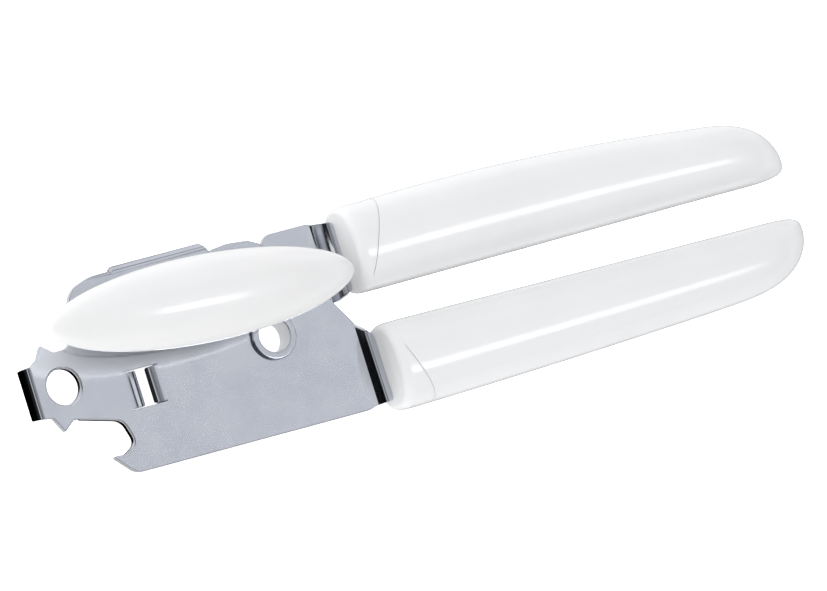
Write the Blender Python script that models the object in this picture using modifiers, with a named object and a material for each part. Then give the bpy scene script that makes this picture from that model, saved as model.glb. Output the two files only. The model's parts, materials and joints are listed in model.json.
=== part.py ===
"""Plier-type manual can opener: two crossed pressed-steel arms on a hollow rivet, a wing knob that turns a
toothed feed wheel, a free cutter wheel on the other arm, and a moulded grip on each tang.

Metres, +Z up. The tool lies flat with the knob on top and the handles closed. Sizes are measured from the
pivot axis: X along the handles, away from the head, Y across the tool towards the upper handle, and Z from
the front arm's face towards the knob. The last step stands the whole tool on Z = 0.
"""

import math

import bmesh
import bpy
import numpy as np
from mathutils import Matrix, Vector

# ---------------------------------------------------------------- driving dimensions
SHEET = 0.0015  # thickness of both pressed arms
GAP = 0.0003  # clearance left between neighbouring pieces
BEND_RADIUS = 0.0006  # inside radius of the folded flanges

HEAD_REACH = 0.0650  # pivot axis to the outer face of the end flange
HEAD_TOP = 0.0244  # pivot axis to the head's top edge
HEAD_BOTTOM = 0.0226  # pivot axis to the head's bottom edge
TOP_FLANGE_DEPTH = 0.0098  # how far the can guide reaches behind the front face
END_FLANGE_DEPTH = 0.0036
RETURN_DEPTH = 0.0019  # depth of the drawn edge along the cap lifter's notch
RETURN_WALL = 0.0012
RETURN_INSET = 0.00004  # keeps that edge's outer side clear of the cut edge above it
TOP_FLANGE_PROUD = 0.0011  # can guide's outer face past the head's top edge
TOP_FLANGE_LEFT = 0.0126  # drive shaft axis to the ends of the can guide's fold line
TOP_FLANGE_RIGHT = 0.0134

EYELET_BORE = 0.0040  # radius of the open hole through the pivot
EYELET_WALL = 0.0006
EYELET_LIP = 0.00575  # radius of the rolled lips
EYELET_LIP_THICKNESS = 0.0007
WASHER_RADIUS = 0.0072
WASHER_THICKNESS = 0.0006

HANG_HOLE_RADIUS = 0.0043
HANG_HOLE_FROM_END = 0.0089  # hole centre to the end flange's outer face
HANG_HOLE_Y = 0.0012
HANG_HOLE_DEPTH = 0.0019  # depth of the collar drawn round the hole

LOUVRE_LENGTH = 0.0088  # window along X
LOUVRE_TOP = 0.0006
LOUVRE_BOTTOM = -0.0080
LOUVRE_LEFT_TAB = 0.0034  # flat length of each of its two tabs
LOUVRE_RIGHT_TAB = 0.0026
LOUVRE_LEFT_BEND = 0.0045  # bend radii, wide enough that the tabs end before a quarter turn
LOUVRE_RIGHT_BEND = 0.0024

SHAFT_X = -0.0230  # drive shaft axis from the pivot axis
SHAFT_Y = 0.0113
SHAFT_RADIUS = 0.0028
SHAFT_SQUARE = 1.5 * SHAFT_RADIUS  # width of the square that drives the knob
BUSH_WALL = 0.0011
BUSH_FLANGE = 0.0055
BUSH_FLANGE_THICKNESS = 0.0010
BUSH_BELOW_PLATE = 0.0010

FEED_RADIUS = 0.0080
FEED_THICKNESS = 0.0033
FEED_TEETH = 24
FEED_TOOTH_DEPTH = 0.0009
FEED_WASHER_RADIUS = 0.0050
FEED_WASHER_THICKNESS = 0.0008
FEED_NUT_WIDTH = 0.0070  # across flats
FEED_NUT_THICKNESS = 0.0018

CUTTER_RADIUS = 0.0090
CUTTER_THICKNESS = 0.0016
CUTTER_BITE = 0.0010  # how far the closed cutter overlaps the feed wheel in plan
CUTTER_RIM_GAP = 0.0005  # can rim space between the two wheels
CUTTER_STUD_RADIUS = 0.0020
CUTTER_HEAD_RADIUS = 0.0042
CUTTER_HEAD_THICKNESS = 0.0010
CUTTER_SPACER_RADIUS = 0.0045
CUTTER_BOSS_WALL = 0.0018  # rear arm left round the spacer
CUTTER_WASHER_THICKNESS = 0.0005

KNOB_LENGTH = 0.0810
KNOB_WIDTH = 0.0205
KNOB_HEIGHT = 0.0136
KNOB_LIFT = 0.0084  # front face of the head to the knob's underside
KNOB_TURN = math.radians(-3.0)  # resting angle of the knob's long axis from X
KNOB_SQUARENESS = 2.15  # power of its cross-section, 2 being an ellipse
KNOB_FLOOR_LENGTH = 0.0540
KNOB_FLOOR_WIDTH = 0.0136
KNOB_FLOOR_THICKNESS = 0.0022
KNOB_NECK_RADIUS = 0.0058
KNOB_KEY_LENGTH = 0.0400
KNOB_KEY_WIDTH = 0.0080
KNOB_KEY_THICKNESS = 0.0022
THRUST_WASHER_THICKNESS = 0.0008

TANG_RISE = 0.0023  # step of the front arm towards the knob, before its grip
FRONT_STEP_START = 0.0028  # where that step starts and ends, both from the lower grip's front
FRONT_STEP_END = 0.0012
REAR_STEP_START = 0.0042  # where the rear arm's step starts, from the upper grip's front
TANG_SHOULDER = 0.0017  # step on each side where the tang enters the grip
ARM_HUB = 0.0110  # half width of the rear arm at the pivot

LOWER_GRIP_FRONT = 0.0243
UPPER_GRIP_FRONT = 0.0226
GRIP_TIP = 0.1407
GRIP_INNER = 0.0040  # pivot axis to the grips' inner sides, at the front
GRIP_SPREAD = 0.0007  # how much further out the inner sides are at the rear
GRIP_OUTER_FRONT = 0.0249
GRIP_OUTER_REAR = 0.0214
LOWER_GRIP_BELLY = 0.0003  # how far the outer side bulges past a straight line
UPPER_GRIP_BELLY = 0.0016
GRIP_REAR_LENGTH = 0.0215  # from where the outer side is GRIP_OUTER_REAR to the tip
GRIP_TIP_Y = 0.0072
GRIP_TIP_LENGTH = 0.0362  # stretch over which the end rounds off
GRIP_STRAIGHT_FROM = 0.0300  # where the outer side starts its long line
TIP_OUTER_ONSET = 5.2  # higher keeps the side straight for longer before the tip
TIP_OUTER_ROUNDNESS = 1.75  # 2 is a quarter of an ellipse, lower is more pointed
TIP_INNER_ONSET = 14
TIP_FACE_ONSET = 7
GRIP_THICKNESS = 0.0162
GRIP_TAPER = 0.92  # thickness at the rear over thickness at the front
GRIP_NOSE_ROUND = 0.0026
GRIP_NOSE_INSET = 0.00161  # how far in the nose's front end is from the full section
GRIP_SQUARENESS = 2.5  # power of the cross-section
GRIP_TIP_FLAT = 0.00004  # how far before the tip the last ring stands
COLLAR_INNER = 0.0240  # where the slanted seam starts on the inner side
COLLAR_SLANT = 0.42  # seam's travel along X over its travel across Y

# ---------------------------------------------------------------- places worked out from them
FRONT_FACE = 0.0
ARM_TOP = -SHEET - GAP
ARM_BOTTOM = ARM_TOP - SHEET
ARM_RISE = TANG_RISE + SHEET + GAP
GRIP_MID = TANG_RISE + 0.0006

TANG_INNER = GRIP_INNER + 0.0012  # pivot axis to the tangs' inner edges
TANG_OUTER = GRIP_OUTER_FRONT - 0.0029
TANG_END = GRIP_TIP - 0.0227
TANG_END_INNER = TANG_INNER + 0.0043
TANG_END_OUTER = TANG_OUTER - 0.0060

BUSH_RADIUS = SHAFT_RADIUS + GAP + BUSH_WALL
BUSH_TOP = FRONT_FACE + GAP + BUSH_FLANGE_THICKNESS
BUSH_BOTTOM = -SHEET - BUSH_BELOW_PLATE
THRUST_TOP = BUSH_TOP + GAP + THRUST_WASHER_THICKNESS
FEED_WASHER_TOP = BUSH_BOTTOM - GAP
FEED_TOP = FEED_WASHER_TOP - FEED_WASHER_THICKNESS - GAP
FEED_BOTTOM = FEED_TOP - FEED_THICKNESS
FEED_NUT_TOP = FEED_BOTTOM - GAP
SHAFT_BOTTOM = FEED_NUT_TOP - FEED_NUT_THICKNESS - GAP

CUTTER_TOP = FEED_BOTTOM - CUTTER_RIM_GAP
CUTTER_BOTTOM = CUTTER_TOP - CUTTER_THICKNESS
CUTTER_WASHER_TOP = CUTTER_BOTTOM - GAP
CUTTER_HEAD_TOP = CUTTER_WASHER_TOP - CUTTER_WASHER_THICKNESS - GAP
CUTTER_HEAD_BOTTOM = CUTTER_HEAD_TOP - CUTTER_HEAD_THICKNESS
WHEEL_DISTANCE = FEED_RADIUS + CUTTER_RADIUS - CUTTER_BITE
CUTTER_SIDEWAYS = 0.0014  # cutter axis further towards the handles than the feed wheel's
CUTTER_X = SHAFT_X + CUTTER_SIDEWAYS
CUTTER_Y = SHAFT_Y - math.sqrt(WHEEL_DISTANCE**2 - CUTTER_SIDEWAYS**2)
CUTTER_SWEEP = math.hypot(CUTTER_X, CUTTER_Y) + CUTTER_RADIUS

END_FOLD = -(HEAD_REACH - BEND_RADIUS - SHEET)
HANG_HOLE_X = -HEAD_REACH + HANG_HOLE_FROM_END
LOUVRE_RIGHT = -(CUTTER_SWEEP + GAP)
LOUVRE_LEFT = LOUVRE_RIGHT - LOUVRE_LENGTH
TOP_FOLD = HEAD_TOP + TOP_FLANGE_PROUD - BEND_RADIUS - SHEET

KNOB_MID = FRONT_FACE + KNOB_LIFT + KNOB_HEIGHT / 2
KNOB_NECK_BOTTOM = THRUST_TOP + GAP
KNOB_FLOOR_BOTTOM = FRONT_FACE + KNOB_LIFT
KNOB_FLOOR_TOP = KNOB_FLOOR_BOTTOM + KNOB_FLOOR_THICKNESS
KNOB_KEY_BOTTOM = KNOB_FLOOR_TOP + GAP
KNOB_KEY_TOP = KNOB_KEY_BOTTOM + KNOB_KEY_THICKNESS
SHAFT_TOP = KNOB_KEY_TOP + 2 * GAP
KNOB_POCKET_TOP = SHAFT_TOP + 3 * GAP

ARC_STEP = math.radians(15)  # facet angle of rounded corners
CUT_CLEAR = 0.004  # how far a cutter reaches past the wall it cuts


# ---------------------------------------------------------------- scene helpers
def clear_scene():
    for obj in list(bpy.data.objects):
        bpy.data.objects.remove(obj, do_unlink=True)


def new_collection(name):
    collection = bpy.data.collections.new(name)
    bpy.context.scene.collection.children.link(collection)
    return collection


def new_material(name, colour, roughness, metallic):
    material = bpy.data.materials.new(name)
    material.use_nodes = True
    shader = material.node_tree.nodes["Principled BSDF"]
    shader.inputs["Base Color"].default_value = (*colour, 1.0)
    shader.inputs["Roughness"].default_value = roughness
    shader.inputs["Metallic"].default_value = metallic
    return material


def new_object(name, data, collection, parent=None):
    obj = bpy.data.objects.new(name, data)
    collection.objects.link(obj)
    obj.parent = parent
    return obj


def new_empty(name, place, collection, parent=None):
    empty = new_object(name, None, collection, parent)
    empty.location = place
    empty.empty_display_size = 0.01
    return empty


def hide_cutter(obj):
    obj.hide_render = True
    obj.display_type = "WIRE"
    return obj


def dress(obj, material, smooth_angle=math.radians(40)):
    """Gives a finished mesh its material and its smooth or sharp shading."""
    obj.data.materials.append(material)
    obj.data.shade_smooth()
    obj.data.set_sharp_from_angle(angle=smooth_angle)
    return obj


def mesh_object(name, bm, collection, parent=None):
    mesh = bpy.data.meshes.new(name)
    bm.to_mesh(mesh)
    bm.free()
    return new_object(name, mesh, collection, parent)


def boolean(obj, other, operation):
    modifier = obj.modifiers.new(f"{operation.lower()} {other.name}", "BOOLEAN")
    modifier.operation = operation
    modifier.object = other


# ---------------------------------------------------------------- outlines
def rounded(corners):
    """Outline through corners (x, y, radius), each sharp corner replaced by an arc of its radius."""
    points = []
    count = len(corners)
    for index, (x, y, radius) in enumerate(corners):
        corner = Vector((x, y))
        before = Vector(corners[index - 1][:2]) - corner
        after = Vector(corners[(index + 1) % count][:2]) - corner
        half = before.angle(after) / 2
        reach = min(radius / math.tan(half), 0.45 * before.length, 0.45 * after.length)
        if radius <= 0 or reach < 1e-6:
            points.append((x, y))
            continue
        true_radius = reach * math.tan(half)
        centre = corner + (before.normalized() + after.normalized()).normalized() * (
            true_radius / math.sin(half)
        )
        start = corner + before.normalized() * reach - centre
        end = corner + after.normalized() * reach - centre
        sweep = start.angle_signed(end)
        steps = max(2, math.ceil(abs(sweep) / ARC_STEP))
        for step in range(steps + 1):
            turned = Matrix.Rotation(-sweep * step / steps, 2) @ start
            points.append(tuple(centre + turned))
    return points


def circle(x, y, radius, steps=40):
    angles = [2 * math.pi * step / steps for step in range(steps)]
    return [(x + radius * math.cos(a), y + radius * math.sin(a)) for a in angles]


def ellipse(length, width, steps=48):
    angles = [2 * math.pi * step / steps for step in range(steps)]
    return [(length / 2 * math.cos(a), width / 2 * math.sin(a)) for a in angles]


def offset_band(path, width):
    """Closed outline of a wall that follows an open path and stands to its left, a width thick."""
    points = [Vector(p) for p in path]
    inner = []
    for index, point in enumerate(points):
        ahead = points[min(index + 1, len(points) - 1)]
        behind = points[max(index - 1, 0)]
        along = (ahead - behind).normalized()
        inner.append(point + Vector((-along.y, along.x)) * width)
    return [tuple(p) for p in points] + [tuple(p) for p in reversed(inner)]


# ---------------------------------------------------------------- solids
def flat_piece(name, loops, low, high, collection, parent=None):
    """Extrudes flat loops, the later ones holes, from low to high, and returns the welded mesh object."""
    curve = bpy.data.curves.new(name, "CURVE")
    curve.dimensions = "2D"
    curve.fill_mode = "BOTH"
    curve.extrude = (high - low) / 2
    for loop in loops:
        spline = curve.splines.new("POLY")
        spline.points.add(len(loop) - 1)
        for point, (x, y) in zip(spline.points, loop):
            point.co = (x, y, 0, 1)
        spline.use_cyclic_u = True
    drawn = new_object(name + "_outline", curve, collection, parent)
    drawn.location.z = (high + low) / 2
    bpy.context.view_layer.update()
    graph = bpy.context.evaluated_depsgraph_get()
    mesh = bpy.data.meshes.new_from_object(drawn.evaluated_get(graph))
    mesh.transform(Matrix.Translation((0, 0, (high + low) / 2)))
    bpy.data.objects.remove(drawn, do_unlink=True)
    mesh.name = name
    bm = bmesh.new()
    bm.from_mesh(mesh)
    bmesh.ops.remove_doubles(bm, verts=bm.verts, dist=1e-7)
    bmesh.ops.recalc_face_normals(bm, faces=bm.faces)
    bm.to_mesh(mesh)
    bm.free()
    return new_object(name, mesh, collection, parent)


def turned(name, profile, collection, parent=None, steps=40):
    """Turns a profile (radius, z), listed down its outer side, once round Z."""
    bm = bmesh.new()
    points = [bm.verts.new((radius, 0, z)) for radius, z in profile]
    for first, second in zip(points, points[1:]):
        bm.edges.new((first, second))
    if profile[0][0] > 0:
        bm.edges.new((points[-1], points[0]))
    obj = mesh_object(name, bm, collection, parent)
    screw = obj.modifiers.new("turn", "SCREW")
    screw.steps = steps
    screw.render_steps = steps
    screw.use_merge_vertices = True
    screw.merge_threshold = 0.00001
    return obj


def ring(name, inner, outer, low, high, collection, parent=None):
    profile = [(inner, high), (outer, high), (outer, low), (inner, low)]
    return turned(name, profile, collection, parent)


def disc_cutter(name, radius, low, high, collection, parent=None):
    profile = [(0, high), (radius, high), (radius, low), (0, low)]
    return hide_cutter(turned(name, profile, collection, parent))


def loft(name, sections, collection, parent=None):
    """Joins rings of equal point count into one skin, and closes both ends with flat caps."""
    bm = bmesh.new()
    rings = [[bm.verts.new(point) for point in section] for section in sections]
    count = len(rings[0])
    for near, far in zip(rings, rings[1:]):
        for step in range(count):
            after = (step + 1) % count
            bm.faces.new((near[step], near[after], far[after], far[step]))
    bm.faces.new(reversed(rings[0]))
    bm.faces.new(rings[-1])
    bmesh.ops.recalc_face_normals(bm, faces=bm.faces)
    return mesh_object(name, bm, collection, parent)


def superellipse(x, y_mid, z_mid, half_width, half_height, power, steps=36):
    """Ring in the plane of constant x: a circle for power 2, squarer as the power grows."""
    points = []
    for step in range(steps):
        angle = 2 * math.pi * step / steps
        across = math.copysign(abs(math.cos(angle)) ** (2 / power), math.cos(angle))
        up = math.copysign(abs(math.sin(angle)) ** (2 / power), math.sin(angle))
        points.append((x, y_mid + half_width * across, z_mid + half_height * up))
    return points


# ---------------------------------------------------------------- pressing the sheet
def cut_across(bm, point, normal):
    everything = bm.verts[:] + bm.edges[:] + bm.faces[:]
    bmesh.ops.bisect_plane(bm, geom=everything, dist=1e-8, plane_co=point, plane_no=normal)


def fold_back(bm, origin, outward, inner_radius, region, top=FRONT_FACE):
    """Folds the tab beyond a line a quarter turn backwards.

    A point's distance past the line is an arc length on the sheet's middle layer until the quarter turn is
    complete, and runs straight back after that. region is (low x, high x, low y, high y) of the tab.
    """
    origin = Vector((*origin, 0))
    outward = Vector((*outward, 0))
    middle = inner_radius + SHEET / 2
    arc = math.pi / 2 * middle
    steps = 5
    for step in range(steps + 1):
        cut_across(bm, origin + outward * (arc * step / steps), outward)
    for vertex in bm.verts:
        x, y, z = vertex.co
        if not (region[0] <= x <= region[1] and region[2] <= y <= region[3]):
            continue
        past = (vertex.co - origin).dot(outward)
        if past <= 1e-8:
            continue
        angle = min(past, arc) / middle
        radius = inner_radius + SHEET + (z - top)
        out = radius * math.sin(angle)
        back = radius * math.cos(angle) - max(past - arc, 0)
        vertex.co += outward * (out - past)
        vertex.co.z = top - SHEET - inner_radius + back


def raise_tang(bm, start, end, rise):
    """Steps the sheet up by rise between two x places, as a smooth S that is flat at both ends."""
    steps = 6
    for step in range(steps + 1):
        cut_across(bm, Vector((start + (end - start) * step / steps, 0, 0)), Vector((1, 0, 0)))
    for vertex in bm.verts:
        share = min(max((vertex.co.x - start) / (end - start), 0), 1)
        vertex.co.z += rise * (1 - math.cos(math.pi * share)) / 2


def merge_flat_faces(bm):
    """Joins neighbouring faces that lie in one plane, so that later cuts leave few slivers."""
    flat = math.radians(0.05)
    bmesh.ops.dissolve_limit(bm, angle_limit=flat, verts=bm.verts, edges=bm.edges)


def press(obj, work):
    """Runs work on the object's mesh as an open bmesh, and puts the result back."""
    bm = bmesh.new()
    bm.from_mesh(obj.data)
    merge_flat_faces(bm)
    work(bm)
    merge_flat_faces(bm)
    bmesh.ops.triangulate(bm, faces=bm.faces)
    bm.to_mesh(obj.data)
    bm.free()


# ---------------------------------------------------------------- front arm
def quarter_turn_length(depth, inner_radius):
    """Flat length of a tab that ends depth behind the front face once it is folded back."""
    return math.pi / 2 * (inner_radius + SHEET / 2) + depth - SHEET - inner_radius


def lifter_edge():
    """Corners of the head's lower left edge: piercing spike, crown-cap notch and its lip."""
    nose = -HEAD_REACH
    return [
        (nose + 0.0038, -0.0057, 0.0010),
        (nose + 0.0059, -0.0091, 0.0002),
        (nose + 0.0090, -0.0068, 0.0010),
        (nose + 0.0210, -0.0099, 0.0034),
        (nose + 0.0227, -0.0158, 0.0024),
        (nose + 0.0191, -0.0177, 0.0014),
        (nose + 0.0157, -0.0175, 0.0003),
    ]


def notch_corners():
    """The crown-cap notch alone, from just past the spike to just before the lip's tip, as an open path."""
    start, *turns, tip = [Vector(corner[:2]) for corner in lifter_edge()[2:]]
    first = start.lerp(turns[0], 0.15)
    last = turns[-1].lerp(tip, 0.30)
    return [(*first, 0), *lifter_edge()[3:-1], (*last, 0)]


def tang_edge(front, side):
    """Corners of a tang, outer shoulder to end to inner shoulder; side is -1 below, 1 above."""
    stop = front - GAP
    inner = TANG_INNER + TANG_SHOULDER
    outer = TANG_OUTER - TANG_SHOULDER
    corners = [
        (stop, TANG_OUTER, 0.0003),
        (stop, outer, 0.0),
        (TANG_END, TANG_END_OUTER, 0.0020),
        (TANG_END, TANG_END_INNER, 0.0020),
        (stop, inner, 0.0),
        (stop, TANG_INNER, 0.0003),
    ]
    return [(x, side * y, radius) for x, y, radius in corners]


def front_outline():
    nose = -HEAD_REACH
    tab_end = quarter_turn_length(END_FLANGE_DEPTH, BEND_RADIUS)
    tab_top = quarter_turn_length(TOP_FLANGE_DEPTH, BEND_RADIUS)
    flange_left = SHAFT_X - TOP_FLANGE_LEFT
    flange_right = SHAFT_X + TOP_FLANGE_RIGHT
    top_left = nose + 0.0158
    slant = math.pi / 2 * (BEND_RADIUS + SHEET / 2)
    return (
        [(END_FOLD - tab_end, -0.0046, 0.0005), (END_FOLD, -0.0046, 0.0)]
        + lifter_edge()
        + [
            (nose + 0.0206, -HEAD_BOTTOM, 0.0046),
            (0.0190, -HEAD_BOTTOM, 0.0020),
            (0.0210, -TANG_OUTER, 0.0010),
        ]
        + tang_edge(LOWER_GRIP_FRONT, -1)
        + [
            (LOWER_GRIP_FRONT - 0.0008, -TANG_INNER, 0.0),
            (0.0175, 0.0046, 0.0020),
            (0.0040, HEAD_TOP - 0.0028, 0.0020),
            (0.0010, HEAD_TOP - 0.0013, 0.0020),
            (-0.0045, HEAD_TOP - 0.0008, 0.0060),
            (flange_right + 0.0010, HEAD_TOP - 0.0012, 0.0003),
            (flange_right + 0.0005, TOP_FOLD - 0.0006, 0.0003),
            (flange_right, TOP_FOLD, 0.0),
            (flange_right - 0.0014, TOP_FOLD + slant, 0.0),
            (flange_right - 0.0014, TOP_FOLD + tab_top, 0.0010),
            (flange_left + 0.0040, TOP_FOLD + tab_top, 0.0010),
            (flange_left + 0.0009, TOP_FOLD + slant, 0.0),
            (flange_left, TOP_FOLD, 0.0),
            (flange_left - 0.0002, HEAD_TOP, 0.0),
            (top_left + 0.0080, HEAD_TOP, 0.0060),
            (top_left + 0.0024, HEAD_TOP - 0.0017, 0.0060),
            (top_left, HEAD_TOP - 0.0056, 0.0030),
            (top_left - 0.0024, 0.0096, 0.0030),
            (nose + 0.0089, 0.0095, 0.0008),
            (nose + 0.0061, 0.0118, 0.0002),
            (nose + 0.0044, 0.0091, 0.0008),
            (END_FOLD, 0.0075, 0.0),
            (END_FOLD - tab_end, 0.0075, 0.0005),
        ]
    )


def louvre_slit():
    """Flat cut of the louvre: an opening between two tabs, which are freed along their ends."""
    free = 0.00030
    left_end = LOUVRE_LEFT + LOUVRE_LEFT_TAB
    right_end = LOUVRE_RIGHT - LOUVRE_RIGHT_TAB
    return [
        (LOUVRE_LEFT, LOUVRE_BOTTOM - free),
        (LOUVRE_RIGHT, LOUVRE_BOTTOM - free),
        (LOUVRE_RIGHT, LOUVRE_BOTTOM),
        (right_end, LOUVRE_BOTTOM),
        (right_end, LOUVRE_TOP),
        (LOUVRE_RIGHT, LOUVRE_TOP),
        (LOUVRE_RIGHT, LOUVRE_TOP + free),
        (LOUVRE_LEFT, LOUVRE_TOP + free),
        (LOUVRE_LEFT, LOUVRE_TOP),
        (left_end, LOUVRE_TOP),
        (left_end, LOUVRE_BOTTOM),
        (LOUVRE_LEFT, LOUVRE_BOTTOM),
    ]


def press_front(bm):
    tiny = 1e-6
    far = 0.2
    fold_back(bm, (END_FOLD, 0), (-1, 0), BEND_RADIUS, (-far, END_FOLD, -far, far))
    top_left = SHAFT_X - TOP_FLANGE_LEFT - GAP / 3
    top_right = SHAFT_X + TOP_FLANGE_RIGHT + GAP / 3
    top_region = (top_left, top_right, TOP_FOLD, far)
    fold_back(bm, (0, TOP_FOLD), (0, 1), BEND_RADIUS, top_region)
    middle = (LOUVRE_LEFT + LOUVRE_RIGHT) / 2
    low, high = LOUVRE_BOTTOM - tiny, LOUVRE_TOP + tiny
    left_region = (LOUVRE_LEFT, middle, low, high)
    fold_back(bm, (LOUVRE_LEFT, 0), (1, 0), LOUVRE_LEFT_BEND, left_region)
    right_region = (middle, LOUVRE_RIGHT, low, high)
    fold_back(bm, (LOUVRE_RIGHT, 0), (-1, 0), LOUVRE_RIGHT_BEND, right_region)
    step_start = LOWER_GRIP_FRONT - FRONT_STEP_START
    raise_tang(bm, step_start, LOWER_GRIP_FRONT - FRONT_STEP_END, TANG_RISE)


def front_plate(parts, cutters, parent, steel):
    loops = [
        rounded(front_outline()),
        circle(0, 0, EYELET_BORE + EYELET_WALL + GAP),
        circle(SHAFT_X, SHAFT_Y, BUSH_RADIUS + GAP),
        louvre_slit(),
    ]
    plate = flat_piece("front_plate", loops, FRONT_FACE - SHEET, FRONT_FACE, parts, parent)
    press(plate, press_front)
    low = FRONT_FACE - RETURN_DEPTH
    high = FRONT_FACE - SHEET / 3
    notch_edge = rounded(notch_corners())
    notch_path = offset_band(notch_edge, RETURN_INSET)[: len(notch_edge) - 1 : -1]
    wall_outline = offset_band(notch_path, RETURN_WALL)
    wall = flat_piece("lifter_wall", [wall_outline], low, high, cutters, parent)
    boolean(plate, hide_cutter(wall), "UNION")
    hang_low = FRONT_FACE - HANG_HOLE_DEPTH
    hang_outer = HANG_HOLE_RADIUS + RETURN_WALL
    collar = disc_cutter("hang_collar", hang_outer, hang_low, high, cutters, parent)
    bore = disc_cutter("hang_bore", HANG_HOLE_RADIUS, -5 * CUT_CLEAR, 5 * CUT_CLEAR, cutters, parent)
    for obj in (collar, bore):
        obj.location = (HANG_HOLE_X, HANG_HOLE_Y, 0)
    boolean(plate, collar, "UNION")
    boolean(plate, bore, "DIFFERENCE")
    return dress(plate, steel)


# ---------------------------------------------------------------- rear arm
def rear_outline():
    boss = CUTTER_SPACER_RADIUS + CUTTER_BOSS_WALL
    return [
        (0.0068, TANG_OUTER + 0.0014, 0.0026),
        (-0.0030, ARM_HUB, 0.0050),
        (CUTTER_X + 0.0010, CUTTER_Y + boss + 0.0008, 0.0020),
        (CUTTER_X - boss, CUTTER_Y + boss * 0.8, 0.0040),
        (CUTTER_X - boss, CUTTER_Y - boss * 0.8, 0.0050),
        (CUTTER_X + 0.0010, CUTTER_Y - boss - 0.0006, 0.0050),
        (0.0070, -ARM_HUB, 0.0080),
        (0.0135, TANG_INNER - 0.0014, 0.0030),
        (0.0200, TANG_INNER - 0.0012, 0.0008),
    ] + [
        (x, y, radius) for x, y, radius in reversed(tang_edge(UPPER_GRIP_FRONT, 1))
    ] + [
        (0.0180, TANG_OUTER + 0.0014, 0.0020),
    ]


def press_rear(bm):
    step_start = UPPER_GRIP_FRONT - REAR_STEP_START
    raise_tang(bm, step_start, UPPER_GRIP_FRONT - 2 * GAP, ARM_RISE)


def rear_arm(parts, parent, steel):
    loops = [
        rounded(rear_outline()),
        circle(0, 0, EYELET_BORE + EYELET_WALL + GAP),
        circle(CUTTER_X, CUTTER_Y, CUTTER_STUD_RADIUS + GAP, 24),
    ]
    arm = flat_piece("rear_arm", loops, ARM_BOTTOM, ARM_TOP, parts, parent)
    press(arm, press_rear)
    return dress(arm, steel)


# ---------------------------------------------------------------- pivot
def pivot_rivet(parts, parent, steel):
    inner = EYELET_BORE
    tube = EYELET_BORE + EYELET_WALL
    top = FRONT_FACE + GAP
    bottom = ARM_BOTTOM - GAP - WASHER_THICKNESS - GAP
    lip = EYELET_LIP_THICKNESS
    profile = [
        (inner + 0.0003, top + lip),
        (EYELET_LIP - 0.0004, top + lip),
        (EYELET_LIP, top + lip / 2),
        (EYELET_LIP, top),
        (tube, top),
        (tube, bottom),
        (EYELET_LIP, bottom),
        (EYELET_LIP, bottom - lip / 2),
        (EYELET_LIP - 0.0004, bottom - lip),
        (inner + 0.0003, bottom - lip),
        (inner, bottom - lip / 2),
        (inner, top + lip / 2),
    ]
    return dress(turned("pivot_rivet", profile, parts, parent), steel)


def pivot_washer(parts, parent, steel):
    bore = EYELET_BORE + EYELET_WALL + GAP
    high = ARM_BOTTOM - GAP
    washer = ring("pivot_washer", bore, WASHER_RADIUS, high - WASHER_THICKNESS, high, parts, parent)
    return dress(washer, steel)


# ---------------------------------------------------------------- drive: knob, shaft and feed wheel
def shaft_bushing(parts, parent, brass):
    bore = SHAFT_RADIUS + GAP
    profile = [
        (bore, BUSH_TOP),
        (BUSH_FLANGE, BUSH_TOP),
        (BUSH_FLANGE, FRONT_FACE + GAP),
        (BUSH_RADIUS, FRONT_FACE + GAP),
        (BUSH_RADIUS, BUSH_BOTTOM),
        (bore, BUSH_BOTTOM),
    ]
    bushing = turned("shaft_bushing", profile, parts, parent)
    bushing.location = (SHAFT_X, SHAFT_Y, 0)
    return dress(bushing, brass)


def drive_shaft(parts, cutters, parent, steel):
    chamfer = 0.0004
    shoulder = KNOB_FLOOR_TOP
    profile = [
        (0, shoulder),
        (SHAFT_RADIUS, shoulder),
        (SHAFT_RADIUS, SHAFT_BOTTOM + chamfer),
        (SHAFT_RADIUS - chamfer, SHAFT_BOTTOM),
        (0, SHAFT_BOTTOM),
    ]
    shaft = turned("drive_shaft", profile, parts, parent)
    half = SHAFT_SQUARE / 2
    corners = [(-half, -half), (half, -half), (half, half), (-half, half)]
    low = shoulder - 0.0010
    square = flat_piece("shaft_square", [corners], low, SHAFT_TOP, cutters, parent)
    boolean(shaft, hide_cutter(square), "UNION")
    return dress(shaft, steel)


def thrust_washer(parts, parent, steel):
    bore = SHAFT_RADIUS + GAP
    low = BUSH_TOP + GAP
    washer = ring("thrust_washer", bore, BUSH_FLANGE, low, THRUST_TOP, parts, parent)
    return dress(washer, steel)


def knob_sections():
    """Boat-shaped rings along the knob: its width and height fall to the tips as an ellipse does."""
    sections = []
    stations = 28
    for station in range(stations + 1):
        angle = math.pi * (0.5 + station) / (stations + 1)
        along = -math.cos(angle)
        spread = 1 - along**2
        width = KNOB_WIDTH / 2 * spread**0.53
        height = KNOB_HEIGHT / 2 * spread**0.5
        x = along * KNOB_LENGTH / 2
        sections.append(superellipse(x, 0, KNOB_MID, width, height, KNOB_SQUARENESS))
    return sections


def knob_shell(parts, cutters, parent, plastic):
    shell = loft("knob_shell", knob_sections(), parts, parent)
    mouth = ellipse(KNOB_FLOOR_LENGTH + 2 * GAP, KNOB_FLOOR_WIDTH + 2 * GAP)
    low = KNOB_FLOOR_BOTTOM - CUT_CLEAR
    pocket = flat_piece("knob_pocket", [mouth], low, KNOB_POCKET_TOP, cutters, parent)
    boolean(shell, hide_cutter(pocket), "DIFFERENCE")
    return dress(shell, plastic)


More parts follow.
